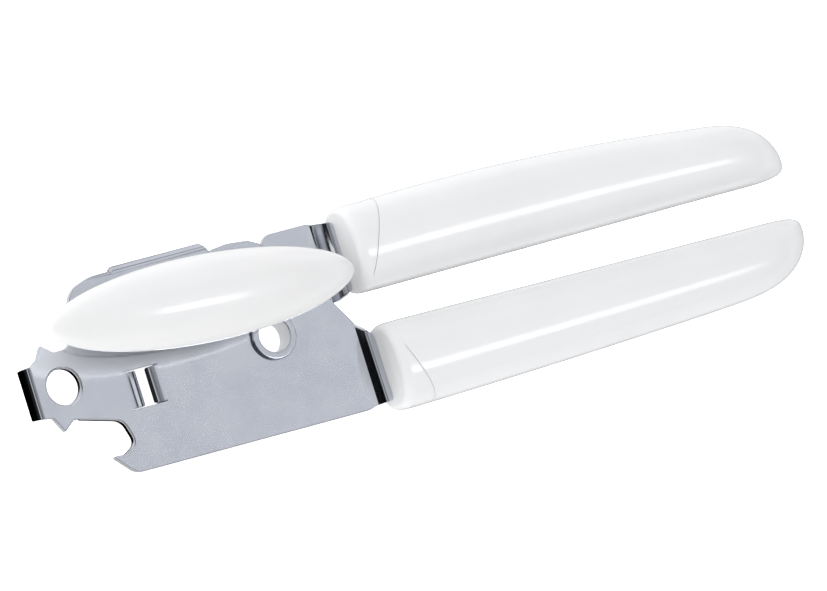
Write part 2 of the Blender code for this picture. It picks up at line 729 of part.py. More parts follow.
def knob_base(parts, cutters, parent, plastic):
    bore = circle(0, 0, SHAFT_RADIUS + GAP)
    loops = [ellipse(KNOB_FLOOR_LENGTH, KNOB_FLOOR_WIDTH), bore]
    base = flat_piece("knob_base", loops, KNOB_FLOOR_BOTTOM, KNOB_FLOOR_TOP, parts, parent)
    neck_loops = [circle(0, 0, KNOB_NECK_RADIUS), bore]
    neck_top = KNOB_FLOOR_BOTTOM + KNOB_FLOOR_THICKNESS / 2
    neck = flat_piece("knob_neck", neck_loops, KNOB_NECK_BOTTOM, neck_top, cutters, parent)
    boolean(base, hide_cutter(neck), "UNION")
    return dress(base, plastic)


def knob_key(parts, parent, steel):
    half = SHAFT_SQUARE / 2 + GAP
    square = [(-half, -half), (half, -half), (half, half), (-half, half)]
    x, y = KNOB_KEY_LENGTH / 2, KNOB_KEY_WIDTH / 2
    bar = rounded([(-x, -y, y * 0.8), (x, -y, y * 0.8), (x, y, y * 0.8), (-x, y, y * 0.8)])
    key = flat_piece("knob_key", [bar, square], KNOB_KEY_BOTTOM, KNOB_KEY_TOP, parts, parent)
    return dress(key, steel)


def feed_washer(parts, parent, steel):
    bore = SHAFT_RADIUS + GAP
    low = FEED_WASHER_TOP - FEED_WASHER_THICKNESS
    washer = ring("feed_washer", bore, FEED_WASHER_RADIUS, low, FEED_WASHER_TOP, parts, parent)
    return dress(washer, steel)


def toothed_outline():
    """Pointed teeth with narrow flats: root, crest, crest, root for each tooth."""
    root = FEED_RADIUS - FEED_TOOTH_DEPTH
    marks = ((0.0, root), (0.38, FEED_RADIUS), (0.56, FEED_RADIUS), (0.94, root))
    pitch = 2 * math.pi / FEED_TEETH
    points = []
    for tooth in range(FEED_TEETH):
        for share, radius in marks:
            angle = pitch * (tooth + share)
            points.append((radius * math.cos(angle), radius * math.sin(angle)))
    return points


def feed_wheel(parts, parent, steel):
    loops = [toothed_outline(), circle(0, 0, SHAFT_RADIUS + GAP)]
    wheel = flat_piece("feed_wheel", loops, FEED_BOTTOM, FEED_TOP, parts, parent)
    return dress(wheel, steel, math.radians(15))


def feed_nut(parts, parent, steel):
    corner = FEED_NUT_WIDTH / math.sqrt(3)
    loops = [circle(0, 0, corner, 6), circle(0, 0, SHAFT_RADIUS + GAP, 32)]
    low = FEED_NUT_TOP - FEED_NUT_THICKNESS
    nut = flat_piece("feed_nut", loops, low, FEED_NUT_TOP, parts, parent)
    return dress(nut, steel)


# ---------------------------------------------------------------- cutter
def cutter_stud(parts, parent, steel):
    radius = CUTTER_STUD_RADIUS
    head = CUTTER_HEAD_RADIUS
    profile = [
        (0, ARM_TOP),
        (radius, ARM_TOP),
        (radius, CUTTER_HEAD_TOP),
        (head, CUTTER_HEAD_TOP),
        (head, CUTTER_HEAD_TOP - CUTTER_HEAD_THICKNESS / 2),
        (head * 0.8, CUTTER_HEAD_BOTTOM),
        (0, CUTTER_HEAD_BOTTOM),
    ]
    stud = turned("cutter_stud", profile, parts, parent)
    stud.location = (CUTTER_X, CUTTER_Y, 0)
    return dress(stud, steel)


def cutter_spacer(parts, parent, steel):
    bore = CUTTER_STUD_RADIUS + GAP
    high = ARM_BOTTOM - GAP
    spacer = ring("cutter_spacer", bore, CUTTER_SPACER_RADIUS, CUTTER_TOP + GAP, high, parts, parent)
    spacer.location = (CUTTER_X, CUTTER_Y, 0)
    return dress(spacer, steel)


def cutter_wheel(parts, parent, steel):
    """Disc whose lower side is bevelled to a thin edge at its top side."""
    bore = CUTTER_STUD_RADIUS + GAP
    edge = 0.0002
    profile = [
        (bore, CUTTER_TOP),
        (CUTTER_RADIUS, CUTTER_TOP),
        (CUTTER_RADIUS, CUTTER_TOP - edge),
        (CUTTER_RADIUS - 0.0026, CUTTER_BOTTOM),
        (bore, CUTTER_BOTTOM),
    ]
    return dress(turned("cutter_wheel", profile, parts, parent, 48), steel)


def cutter_washer(parts, parent, steel):
    bore = CUTTER_STUD_RADIUS + GAP
    low = CUTTER_WASHER_TOP - CUTTER_WASHER_THICKNESS
    washer = ring("cutter_washer", bore, CUTTER_HEAD_RADIUS, low, CUTTER_WASHER_TOP, parts, parent)
    washer.location = (CUTTER_X, CUTTER_Y, 0)
    return dress(washer, steel)


# ---------------------------------------------------------------- grips
def grip_sides(x, front, belly):
    """Inner side, outer side and half thickness of a grip at x, measured from the pivot's XZ plane."""
    share = (x - GRIP_STRAIGHT_FROM) / (GRIP_TIP - GRIP_REAR_LENGTH - GRIP_STRAIGHT_FROM)
    bulge = belly * 4 * share * (1 - share) if 0 < share < 1 else 0
    outer = GRIP_OUTER_FRONT + (GRIP_OUTER_REAR - GRIP_OUTER_FRONT) * max(share, 0) + bulge
    inner = GRIP_INNER + GRIP_SPREAD * min(max(share, 0), 1)
    half = GRIP_THICKNESS / 2 * (1 + (GRIP_TAPER - 1) * min(max(share, 0), 1))
    past = (x - GRIP_TIP) / GRIP_TIP_LENGTH + 1
    if past > 0:
        left = (1 - past**TIP_OUTER_ONSET) ** (1 / TIP_OUTER_ROUNDNESS)
        outer = GRIP_TIP_Y + (outer - GRIP_TIP_Y) * left
        inner = GRIP_TIP_Y - (GRIP_TIP_Y - inner) * math.sqrt(1 - past**TIP_INNER_ONSET)
        half *= math.sqrt(1 - past**TIP_FACE_ONSET)
    if x < front + GRIP_NOSE_ROUND:
        short = 1 - (x - front) / GRIP_NOSE_ROUND
        inset = GRIP_NOSE_INSET * (1 - math.sqrt(1 - short**2))
        outer -= inset
        inner += inset
        half -= inset
    return inner, outer, half


def grip_stations(front):
    """Places along a grip: close together at the rounded nose and at the rounded tip."""
    nose = [front + GRIP_NOSE_ROUND * (1 - math.cos(math.pi / 2 * i / 5)) for i in range(6)]
    start = front + GRIP_NOSE_ROUND
    end = GRIP_TIP - GRIP_TIP_LENGTH
    middle = [start + (end - start) * i / 9 for i in range(1, 10)]
    tip = [end + GRIP_TIP_LENGTH * math.sin(math.pi / 2 * i / 16) for i in range(1, 16)]
    return nose + middle + tip + [GRIP_TIP - GRIP_TIP_FLAT]


def grip_body(name, front, side, belly, parts, parent):
    sections = []
    for x in grip_stations(front):
        inner, outer, half = grip_sides(x, front, belly)
        y_mid = side * (inner + outer) / 2
        sections.append(superellipse(x, y_mid, GRIP_MID, (outer - inner) / 2, half, GRIP_SQUARENESS))
    return loft(name, sections, parts, parent)


def keep_one_side(obj, point, normal):
    """Cuts the body at a plane and keeps what lies behind it, with the cut filled flat."""
    bm = bmesh.new()
    bm.from_mesh(obj.data)
    everything = bm.verts[:] + bm.edges[:] + bm.faces[:]
    cut = bmesh.ops.bisect_plane(
        bm, geom=everything, dist=1e-8, plane_co=point, plane_no=normal, clear_outer=True
    )
    rim = [edge for edge in cut["geom_cut"] if isinstance(edge, bmesh.types.BMEdge)]
    bmesh.ops.edgeloop_fill(bm, edges=rim)
    bmesh.ops.recalc_face_normals(bm, faces=bm.faces)
    bm.to_mesh(obj.data)
    bm.free()


def tang_slot(name, front, side, cutters, parent):
    """Pocket that clears the tang by one gap all round; it starts in front of the grip."""
    inner = TANG_INNER + TANG_SHOULDER - GAP
    outer = TANG_OUTER - TANG_SHOULDER + GAP
    corners = [
        (front - CUT_CLEAR, outer),
        (TANG_END + GAP, TANG_END_OUTER + GAP),
        (TANG_END + GAP, TANG_END_INNER - GAP),
        (front - CUT_CLEAR, inner),
    ]
    outline = [(x, side * y) for x, y in corners]
    low = FRONT_FACE + TANG_RISE - SHEET - GAP
    high = FRONT_FACE + TANG_RISE + GAP
    return hide_cutter(flat_piece(name, [outline], low, high, cutters, parent))


def grip_pair(names, front, side, belly, parts, cutters, parent, plastic):
    """Front collar and grip sleeve of one handle, parted by a slanted seam one gap wide."""
    slot = tang_slot(names[0] + "_slot", front, side, cutters, parent)
    across = Vector((COLLAR_SLANT, side, 0)).normalized()
    away = Vector((across.y * side, -across.x * side, 0))
    seam = Vector((COLLAR_INNER, side * GRIP_INNER, 0))
    made = []
    for name, place, direction in (
        (names[0], seam, away),
        (names[1], seam + away * GAP, -away),
    ):
        body = grip_body(name, front, side, belly, parts, parent)
        keep_one_side(body, place, direction)
        boolean(body, slot, "DIFFERENCE")
        made.append(dress(body, plastic))
    return made


# ---------------------------------------------------------------- assembly
def stand_on_ground(root, pieces):
    """Moves the whole tool so that the middle of the underside of its box is at the origin."""
    bpy.context.view_layer.update()
    graph = bpy.context.evaluated_depsgraph_get()
    corners = []
    for piece in pieces:
        evaluated = piece.evaluated_get(graph)
        corners += [evaluated.matrix_world @ vertex.co for vertex in evaluated.data.vertices]
    corners = np.array(corners)
    low, high = corners.min(axis=0), corners.max(axis=0)
    root.location -= Vector(((low[0] + high[0]) / 2, (low[1] + high[1]) / 2, low[2]))


def main():
    clear_scene()
    parts = new_collection("manual_can_opener")
    cutters = new_collection("cutters")
    chrome = new_material("chrome_plated_steel", (0.62, 0.64, 0.69), 0.12, 1.0)
    zinc = new_material("zinc_plated_steel", (0.52, 0.53, 0.55), 0.32, 1.0)
    hardened = new_material("hardened_steel", (0.45, 0.45, 0.47), 0.25, 1.0)
    brass = new_material("sintered_bronze", (0.55, 0.40, 0.20), 0.40, 1.0)
    white = new_material("white_gloss_plastic", (0.86, 0.86, 0.86), 0.18, 0.0)

    root = new_empty("tool_frame", (0, 0, 0), parts)
    handle_pivot = new_empty("handle_pivot", (0, 0, 0), parts, root)
    knob_axis = new_empty("knob_axis", (SHAFT_X, SHAFT_Y, 0), parts, root)
    knob_axis.rotation_euler.z = KNOB_TURN
    cutter_axis = new_empty("cutter_axis", (CUTTER_X, CUTTER_Y, 0), parts, handle_pivot)

    lower = (("lower_collar", "lower_grip"), LOWER_GRIP_FRONT, -1, LOWER_GRIP_BELLY)
    upper = (("upper_collar", "upper_grip"), UPPER_GRIP_FRONT, 1, UPPER_GRIP_BELLY)
    pieces = [
        front_plate(parts, cutters, root, chrome),
        pivot_rivet(parts, root, chrome),
        pivot_washer(parts, root, zinc),
        shaft_bushing(parts, root, brass),
        *grip_pair(*lower, parts, cutters, root, white),
        rear_arm(parts, handle_pivot, chrome),
        cutter_stud(parts, handle_pivot, zinc),
        cutter_spacer(parts, handle_pivot, zinc),
        cutter_washer(parts, handle_pivot, zinc),
        *grip_pair(*upper, parts, cutters, handle_pivot, white),
        cutter_wheel(parts, cutter_axis, hardened),
        drive_shaft(parts, cutters, knob_axis, zinc),
        thrust_washer(parts, knob_axis, zinc),
        knob_shell(parts, cutters, knob_axis, white),
        knob_base(parts, cutters, knob_axis, white),
        knob_key(parts, knob_axis, zinc),
        feed_washer(parts, knob_axis, zinc),
        feed_wheel(parts, knob_axis, hardened),
        feed_nut(parts, knob_axis, zinc),
    ]
    stand_on_ground(root, pieces)


main()
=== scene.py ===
import json
import math

import bpy
import numpy as np
from mathutils import Matrix, Vector
from mathutils.geometry import delaunay_2d_cdt


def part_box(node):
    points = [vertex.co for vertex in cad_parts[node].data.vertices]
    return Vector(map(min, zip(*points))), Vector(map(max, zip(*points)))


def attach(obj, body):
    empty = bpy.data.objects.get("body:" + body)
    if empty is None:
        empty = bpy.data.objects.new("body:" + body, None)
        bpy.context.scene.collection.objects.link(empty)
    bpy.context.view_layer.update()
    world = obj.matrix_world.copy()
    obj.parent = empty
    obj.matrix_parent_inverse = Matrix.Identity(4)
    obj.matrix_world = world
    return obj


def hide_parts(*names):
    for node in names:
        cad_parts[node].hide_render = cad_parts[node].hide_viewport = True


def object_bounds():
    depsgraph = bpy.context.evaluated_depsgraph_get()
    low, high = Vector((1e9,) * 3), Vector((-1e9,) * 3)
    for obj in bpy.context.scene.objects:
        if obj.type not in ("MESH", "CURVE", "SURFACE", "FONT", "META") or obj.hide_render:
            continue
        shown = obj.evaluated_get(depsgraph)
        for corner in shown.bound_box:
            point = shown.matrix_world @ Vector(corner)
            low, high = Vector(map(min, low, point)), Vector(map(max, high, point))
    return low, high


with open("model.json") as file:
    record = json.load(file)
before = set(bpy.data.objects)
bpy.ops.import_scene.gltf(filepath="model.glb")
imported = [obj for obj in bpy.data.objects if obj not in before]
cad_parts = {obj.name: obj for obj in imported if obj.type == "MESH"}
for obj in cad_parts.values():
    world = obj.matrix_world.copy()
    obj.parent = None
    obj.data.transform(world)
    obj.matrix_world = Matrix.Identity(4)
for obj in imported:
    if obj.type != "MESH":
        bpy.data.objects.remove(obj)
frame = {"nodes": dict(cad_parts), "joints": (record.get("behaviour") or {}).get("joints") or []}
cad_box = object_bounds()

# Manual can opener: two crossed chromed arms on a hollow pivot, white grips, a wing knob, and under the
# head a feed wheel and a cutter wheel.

MM = 0.001
JOINTS = {joint["name"]: np.array(joint["pos_m"]) / MM for joint in frame["joints"]}
PIVOT = JOINTS["handle_pivot"]  # every shape below is in mm from here: X to the handles, Z to the knob


def box(node):
    """A CAD node's lowest and highest corner, in mm from the pivot axis and the head's front face."""
    low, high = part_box(node)
    return np.array(low) / MM - PIVOT, np.array(high) / MM - PIVOT


SHAFT = JOINTS["knob_turn"] - PIVOT
CUTTER = JOINTS["cutter_spin"] - PIVOT
NOSE = box("front_plate")[0][0]
HEAD_BOTTOM = box("front_plate")[0][1]
TOP_FACE = box("front_plate")[1][1]  # outer face of the can guide
HEAD_TOP = TOP_FACE - 1.1
CAN_GUIDE_DEPTH = -box("front_plate")[0][2]
TANG_RISE = box("front_plate")[1][2]
SHEET = 1.5  # thickness of both arms
GAP = 0.3  # clearance between neighbouring pieces
RIVET_BORE = 4.9  # radius of both arms' holes for the rivet
STUD_BORE = 2.3  # radius of the holes that the cutter's stud goes through
SHAFT_BORE = 3.1  # radius of the holes that the drive shaft goes through
BUSH_BORE = 4.2  # radius of the front arm's hole for the shaft's bearing
TANG_SHOULDER = 1.7  # step on each side where a tang enters its grip
EDGE = 0.22  # rounding of the sheet's stamped edges
LEVELS = 5  # points on each round of the sheet's edges
BEND = 0.6  # inner radius of the flanges
LEFT_BEND, RIGHT_BEND = 4.5, 2.4  # inner radii of the louvre's tabs
ARM_TOP = -SHEET - GAP
ARM_OUTER_EDGE = box("rear_arm")[1][1]
TANG_OUTER = ARM_OUTER_EDGE - 1.4
TANG_INNER = 5.2
TANG_END = box("front_plate")[1][0]
LOWER_FRONT = box("lower_collar")[0][0]
UPPER_FRONT = box("upper_collar")[0][0]
GRIP_TIP = box("upper_grip")[1][0] + 0.04  # where the sides would meet; the skin ends TIP_CUT before it
TIP_CUT = 0.045
GRIP_MID = (box("upper_collar")[0][2] + box("upper_collar")[1][2]) / 2
GRIP_HALF = (box("upper_collar")[1][2] - box("upper_collar")[0][2]) / 2


# ---------------------------------------------------------------- paths
def rounded(corners, step=9):
    """Closed path through corners (x, y, radius), each corner a tangent arc of that radius.

    Returns the points and, for each, the number of the corner it belongs to.
    """
    corners = np.array(corners, float)
    points, marks = [], []
    for index, (x, y, radius) in enumerate(corners):
        corner = np.array((x, y))
        before = corners[index - 1, :2] - corner
        after = corners[(index + 1) % len(corners), :2] - corner
        long_before, long_after = np.linalg.norm(before), np.linalg.norm(after)
        before, after = before / long_before, after / long_after
        half = math.acos(np.clip(before @ after, -1, 1)) / 2
        reach = min(radius / math.tan(half), 0.45 * long_before, 0.45 * long_after)
        if reach < 1e-4:
            points.append(corner[None])
            marks.append([index])
            continue
        middle = before + after
        centre = corner + middle / np.linalg.norm(middle) * reach / math.cos(half)
        first, last = corner + before * reach - centre, corner + after * reach - centre
        sweep = math.atan2(first[0] * last[1] - first[1] * last[0], first @ last)
        count = max(3, math.ceil(abs(math.degrees(sweep)) / step) + 1)
        turn = np.linspace(0, sweep, count)
        cos, sin = np.cos(turn), np.sin(turn)
        arc = np.stack((first[0] * cos - first[1] * sin, first[0] * sin + first[1] * cos), 1)
        points.append(centre + arc)
        marks.append(np.full(count, index))
    return np.concatenate(points), np.concatenate(marks).astype(float)


def circle(x, y, radius, count=96):
    """Closed clockwise circle, as a hole's path runs."""
    turn = -np.linspace(0, 2 * math.pi, count, endpoint=False)
    return np.stack((x + radius * np.cos(turn), y + radius * np.sin(turn)), 1)


def dense(path, marks, longest=0.5):
    """The closed path with points added evenly so that no step is longer than longest."""
    after = np.roll(path, -1, 0)
    count = np.maximum(1, np.ceil(np.linalg.norm(after - path, axis=1) / longest)).astype(int)
    start = np.repeat(np.arange(len(path)), count)
    share = (np.arange(count.sum()) - np.repeat(np.cumsum(count) - count, count)) / count[start]
    ahead = np.roll(marks, -1)
    ahead[-1] = marks[-1] + 1
    points = path[start] + (after - path)[start] * share[:, None]
    return points, marks[start] + (ahead - marks)[start] * share


def cross(path, marks, line):
    """The closed path with a point added wherever it crosses line (axis, value, low, high)."""
    axis, value, low, high = line
    after = np.roll(path, -1, 0)
    a, b = path[:, axis] - value, after[:, axis] - value
    share = np.where(a * b < 0, a / np.where(a == b, 1, a - b), 0)
    point = path + (after - path) * share[:, None]
    other = point[:, 1 - axis]
    at = np.nonzero((a * b < -1e-12) & (other > low) & (other < high))[0]
    point[:, axis] = value
    return np.insert(path, at + 1, point[at], 0), np.insert(marks, at + 1, marks[at] + 1e-3)


def inward(path):
    """Unit normals of a closed path to its left, where the metal is."""
    ahead, behind = np.roll(path, -1, 0) - path, path - np.roll(path, 1, 0)
    ahead /= np.maximum(np.linalg.norm(ahead, axis=1), 1e-9)[:, None]
    behind /= np.maximum(np.linalg.norm(behind, axis=1), 1e-9)[:, None]
    along = ahead + behind
    along /= np.linalg.norm(along, axis=1)[:, None]
    return np.stack((-along[:, 1], along[:, 0]), 1)


def arc(x, z, radius, start, end, count):
    """Points on a circle about (x, z) between two angles in degrees."""
    turn = np.radians(np.linspace(start, end, count))
    return np.stack((x + radius * np.cos(turn), z + radius * np.sin(turn)), 1)


# ---------------------------------------------------------------- meshes
def quads(rows, columns, wrap_rows=False, wrap_columns=True):
    """Four-corner faces of a rows by columns grid of points, joined round where it wraps."""
    i = np.arange(rows if wrap_rows else rows - 1)[:, None]
    j = np.arange(columns if wrap_columns else columns - 1)[None, :]
    below, right = (i + 1) % rows, (j + 1) % columns
    around = (i * columns + j, i * columns + right, below * columns + right, below * columns + j)
    return np.stack(np.broadcast_arrays(*around), -1).reshape(-1, 4)


def piece(
    name, points, faces, body, material, slot, stands_for, sharp=40, second=None, use=None, creases=None
):
    """Mesh from points in mm from the pivot and faces, turned outwards, on a body in place of CAD nodes.

    use is true for each face that takes the second material, and creases are pairs of points whose edge is
    sharp. A closed mesh's volume is the sum of its corners' triple products; where that is negative, the
    faces turn.
    """
    points = np.asarray(points, float)
    triangles = [face[:, :3] for face in faces] + [face[:, [0, 2, 3]] for face in faces if face.shape[1] == 4]
    a, b, c = np.moveaxis(points[np.concatenate(triangles)], 1, 0)
    if np.einsum("ij,ij->", a, np.cross(b, c)) < 0:
        faces = [face[:, ::-1] for face in faces]
    mesh = bpy.data.meshes.new(name)
    mesh.from_pydata((points + PIVOT) * MM, [], sum((face.tolist() for face in faces), []))
    mesh.materials.append(material)
    if second:
        mesh.materials.append(second)
        mesh.polygons.foreach_set("material_index", use.astype(np.int32))
    mesh.shade_smooth()
    mesh.set_sharp_from_angle(angle=math.radians(sharp))
    if creases is not None:
        ends, sharp_edges = np.empty(len(mesh.edges) * 2, int), np.empty(len(mesh.edges), bool)
        mesh.edges.foreach_get("vertices", ends)
        mesh.edges.foreach_get("use_edge_sharp", sharp_edges)
        ends, creases = np.sort(ends.reshape(-1, 2)), np.sort(creases)
        sharp_edges |= np.isin(ends @ (len(points), 1), creases @ (len(points), 1))
        mesh.edges.foreach_set("use_edge_sharp", sharp_edges)
    made = bpy.data.objects.new(name, mesh)
    bpy.context.scene.collection.objects.link(made)
    weighted = made.modifiers.new("flat faces stay flat", "WEIGHTED_NORMAL")
    weighted.keep_sharp = True
    weighted.weight = 95
    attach(made, body)
    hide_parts(*stands_for)
    return made


def skin(rings, **kind):
    """Closed skin over rings of points, each end closed by a fan to its ring's middle."""
    rows, columns = rings.shape[:2]
    points = np.concatenate((rings.reshape(-1, 3), rings[[0, -1]].mean(1)))
    j = np.arange(columns)
    right = (j + 1) % columns
    top = np.stack((right, j, np.full(columns, rows * columns)), 1)
    last = (rows - 1) * columns
    bottom = np.stack((last + j, last + right, np.full(columns, rows * columns + 1)), 1)
    return piece(points=points, faces=[quads(rows, columns), top, bottom], **kind)


def turned(profile, centre, steps=96, second_within=0, **kind):
    """Ring of revolution: each point (radius, z) of the profile goes once round the axis through centre.

    The profile closes on itself. Faces nearer the axis than second_within take the second material.
    """
    profile = np.asarray(profile, float)
    turn = np.linspace(0, 2 * math.pi, steps, endpoint=False)
    radius = profile[:, :1]
    x, y = centre[0] + radius * np.cos(turn), centre[1] + radius * np.sin(turn)
    rings = np.stack((x, y, np.broadcast_to(profile[:, 1:], x.shape)), -1)
    if second_within:
        reach = np.maximum(profile[:, 0], np.roll(profile[:, 0], -1))
        kind["use"] = np.repeat(reach < second_within, steps)
    return piece(points=rings.reshape(-1, 3), faces=[quads(len(profile), steps, True)], **kind)


def inside(points, loops):
    """Even-odd test of many points against closed loops."""
    a = np.concatenate(loops)
    b = np.concatenate([np.roll(loop, -1, 0) for loop in loops])
    x, y = points[:, :1], points[:, 1:]
    spans = (a[:, 1] > y) != (b[:, 1] > y)
    rise = np.where(a[:, 1] == b[:, 1], 1, b[:, 1] - a[:, 1])
    hits = spans & (x < (b[:, 0] - a[:, 0]) * (y - a[:, 1]) / rise + a[:, 0])
    return hits.sum(1) % 2 == 1


def face_triangles(loops, folds):
    """Triangles of a flat face between loops, with an edge along every fold that two loop points end."""
    points = np.concatenate(loops)
    starts = np.cumsum([0] + [len(loop) for loop in loops])
    edges = [
        np.stack((np.arange(n) + first, (np.arange(n) + 1) % n + first), 1)
        for first, n in zip(starts, map(len, loops))
    ]
    edges = np.concatenate(edges + [np.reshape(folds, (-1, 2)).astype(int)])
    found = delaunay_2d_cdt([Vector(p) for p in points], edges.tolist(), [], 0, 1e-7)
    order = np.array([same[0] if same else -1 for same in found[3]])
    triangles = order[np.array(found[2])]
    triangles = triangles[(triangles >= 0).all(1)]
    middle = points[triangles].mean(1)
    return triangles[inside(middle, loops)]


def sheet(loops, profiles, lines, bend, **kind):
    """Pressed sheet: flat front and back faces, and round every loop an edge with its own cross-section.

    loops are closed paths with the metal on their left. profiles hold, for each loop, an array of points by
    levels of (distance in from the loop, height), from the front face over the edge to the back face. lines
    are the folds (axis, value, low, high), and bend maps flat points to pressed ones. The straight land of a
    stamped edge takes the sheared finish.
    """
    fronts, backs, blocks, faces, start = [], [], [], [], 0
    folds = []
    for loop, profile in zip(loops, profiles):
        normal = inward(loop)
        flat = loop[:, None] + normal[:, None] * profile[:, :, :1]
        ring = np.concatenate((flat, profile[:, :, 1:]), -1)
        blocks.append(ring.reshape(-1, 3))
        fronts.append((flat[:, 0], start + np.arange(len(loop)) * profile.shape[1]))
        backs.append((flat[:, -1], start + (np.arange(len(loop)) + 1) * profile.shape[1] - 1))
        faces.append(start + quads(len(loop), profile.shape[1], True, False))
        start += len(blocks[-1])
    everything = np.concatenate(loops)
    for axis, value, low, high in lines:
        on = np.abs(everything[:, axis] - value) < 1e-6
        at = np.nonzero(on & (everything[:, 1 - axis] > low) & (everything[:, 1 - axis] < high))[0]
        at = at[np.argsort(everything[at, 1 - axis])]
        folds += [(a, b) for a, b in zip(at[::2], at[1::2])]
    for side, flip in ((fronts, False), (backs, True)):
        triangles = face_triangles([flat for flat, _ in side], folds)
        numbers = np.concatenate([number for _, number in side])[triangles]
        faces.append(numbers[:, ::-1] if flip else numbers)
    height = np.concatenate([profile[:, :, 1].ravel() for profile in profiles])
    rims = [number for _, number in fronts + backs]
    creases = np.concatenate([np.stack((rim, np.roll(rim, -1)), 1) for rim in rims])
    margin = EDGE / 2 - 0.05
    land = [(height[f].max(1) < -margin) & (height[f].min(1) > margin - SHEET) for f in faces]
    return piece(
        points=bend(np.concatenate(blocks)), faces=faces, second=SHEARED, use=np.concatenate(land),
        creases=creases, **kind,
    )


def plain_edge(count, radius=EDGE):
    """Cross-section of a stamped edge, the same at every point: two quarter rounds and a straight land."""
    front = arc(radius, -radius, radius, 90, 180, LEVELS)
    back = arc(radius, radius - SHEET, radius, 180, 270, LEVELS)
    return np.broadcast_to(np.concatenate((front, back)), (count, 2 * LEVELS, 2))


def drawn_edge(depth, radius, wall):
    """Cross-section of an edge drawn backwards: a wide round, a wall, its rim, and the wall's back."""
    rim, foot = 0.25, 0.4  # rounds at the wall's end and where its back meets the sheet
    return np.concatenate((
        arc(radius, -radius, radius, 90, 180, LEVELS),
        arc(rim, rim - depth, rim, 180, 270, LEVELS)[:-1],
        arc(wall - rim, rim - depth, rim, 270, 360, LEVELS),
        arc(wall + foot, -SHEET - foot, foot, 180, 90, LEVELS),
    ))


def stretched(profile, levels):
    """The same cross-section spread over more levels, so that it can blend into a richer one."""
    place = np.linspace(0, len(profile) - 1, levels)
    index = np.arange(len(profile))
    return np.stack((np.interp(place, index, profile[:, 0]), np.interp(place, index, profile[:, 1])), 1)


# ---------------------------------------------------------------- pressing
def fold_back(points, axis, line, side, inner, region):
    """Folds the tab past a line a quarter turn backwards, keeping lengths on the sheet's middle layer.

    Past the line a distance is an arc about the bend's axis until the quarter turn is complete, and then
    runs straight back. side is +1 or -1, the way out of the line, and region (low, high, low, high) bounds
    the tab.
    """
    x, y, z = points.T
    within = (x > region[0]) & (x < region[1]) & (y > region[2]) & (y < region[3])
    past = np.where(within, np.maximum((points[:, axis] - line) * side, 0), 0)
    middle = inner + SHEET / 2
    angle = np.minimum(past, math.pi / 2 * middle) / middle
    radius = inner + SHEET + z
    out = np.where(past > 0, radius * np.sin(angle) - past, 0)
    back = radius * np.cos(angle) - np.maximum(past - math.pi / 2 * middle, 0)
    made = points.copy()
    made[:, axis] += side * out
    made[:, 2] = np.where(past > 0, back - SHEET - inner, z)
    return made


def fold_lines(axis, line, side, inner, low, high, steps=8):
    """Fold lines across a tab: the bend's start, its end and evenly between them."""
    length = math.pi / 2 * (inner + SHEET / 2)
    return [(axis, line + side * length * i / steps, low, high) for i in range(steps + 1)]


def step_up(points, start, end, rise, middle):
    """Joggle: the sheet's middle layer climbs by rise between two x places, its thickness square to it.

    The climb is a straight slope over the middle 2/5, eased by a parabola over 3/10 at each end.
    """
    ease = 0.3
    share = np.clip((points[:, 0] - start) / (end - start), 0, 1)
    near = np.minimum(share, 1 - share)
    low = np.where(near < ease, near**2 / (2 * ease), near - ease / 2) / (1 - ease)
    height = np.where(share < 0.5, low, 1 - low) * rise
    slope = np.minimum(near / ease, 1) / (1 - ease) * rise / (end - start)
    length = np.sqrt(1 + slope**2)
    offset = points[:, 2] - middle
    made = points.copy()
    made[:, 0] -= offset * slope / length
    made[:, 2] = middle + height + offset / length
    return made


def step_lines(start, end, low, high, steps=12):
    """Fold lines evenly over a joggle."""
    return [(0, start + (end - start) * i / steps, low, high) for i in range(steps + 1)]


def path_with(lines, corners):
    """Rounded path of corners, made dense and given a point at every line it crosses."""
    path, marks = dense(*rounded(corners))
    for line in lines:
        path, marks = cross(path, marks, line)
    return path, marks


# ---------------------------------------------------------------- materials
def linear(hex_colour):
    """sRGB hex to a linear colour with full opacity."""
    srgb = np.array([int(hex_colour[i : i + 2], 16) for i in (1, 3, 5)]) / 255
    return (*np.where(srgb <= 0.04045, srgb / 12.92, ((srgb + 0.055) / 1.055) ** 2.4), 1.0)


def add(tree, kind, links=None, **settings):
    """Adds a node; settings name its sockets or attributes, and links name sockets with what feeds them."""
    node = tree.nodes.new(kind)
    for key, value in settings.items():
        if hasattr(node, key):
            setattr(node, key, value)
        else:
            node.inputs[key.replace("_", " ")].default_value = value
    for key, source in (links or {}).items():
        tree.links.new(source, node.inputs[key])
    return node


def surface(name, **settings):
    """A material with its shader, and the place of each point on the piece in metres."""
    material = bpy.data.materials.new(name)
    material.use_nodes = True
    tree = material.node_tree
    shader = tree.nodes["Principled BSDF"]
    for key, value in settings.items():
        shader.inputs[key.replace("_", " ")].default_value = value
    place = add(tree, "ShaderNodeTexCoord").outputs["Object"]
    return material, tree, shader, place


def ramp(tree, source, stops):
    """Colour ramp through stops of (position, hex colour)."""
    node = add(tree, "ShaderNodeValToRGB", {"Fac": source})
    elements = node.color_ramp.elements
    elements[0].position, elements[0].color = stops[0][0], linear(stops[0][1])
    elements[1].position, elements[1].color = stops[-1][0], linear(stops[-1][1])
    for position, colour in stops[1:-1]:
        elements.new(position).color = linear(colour)
    return node.outputs["Color"]


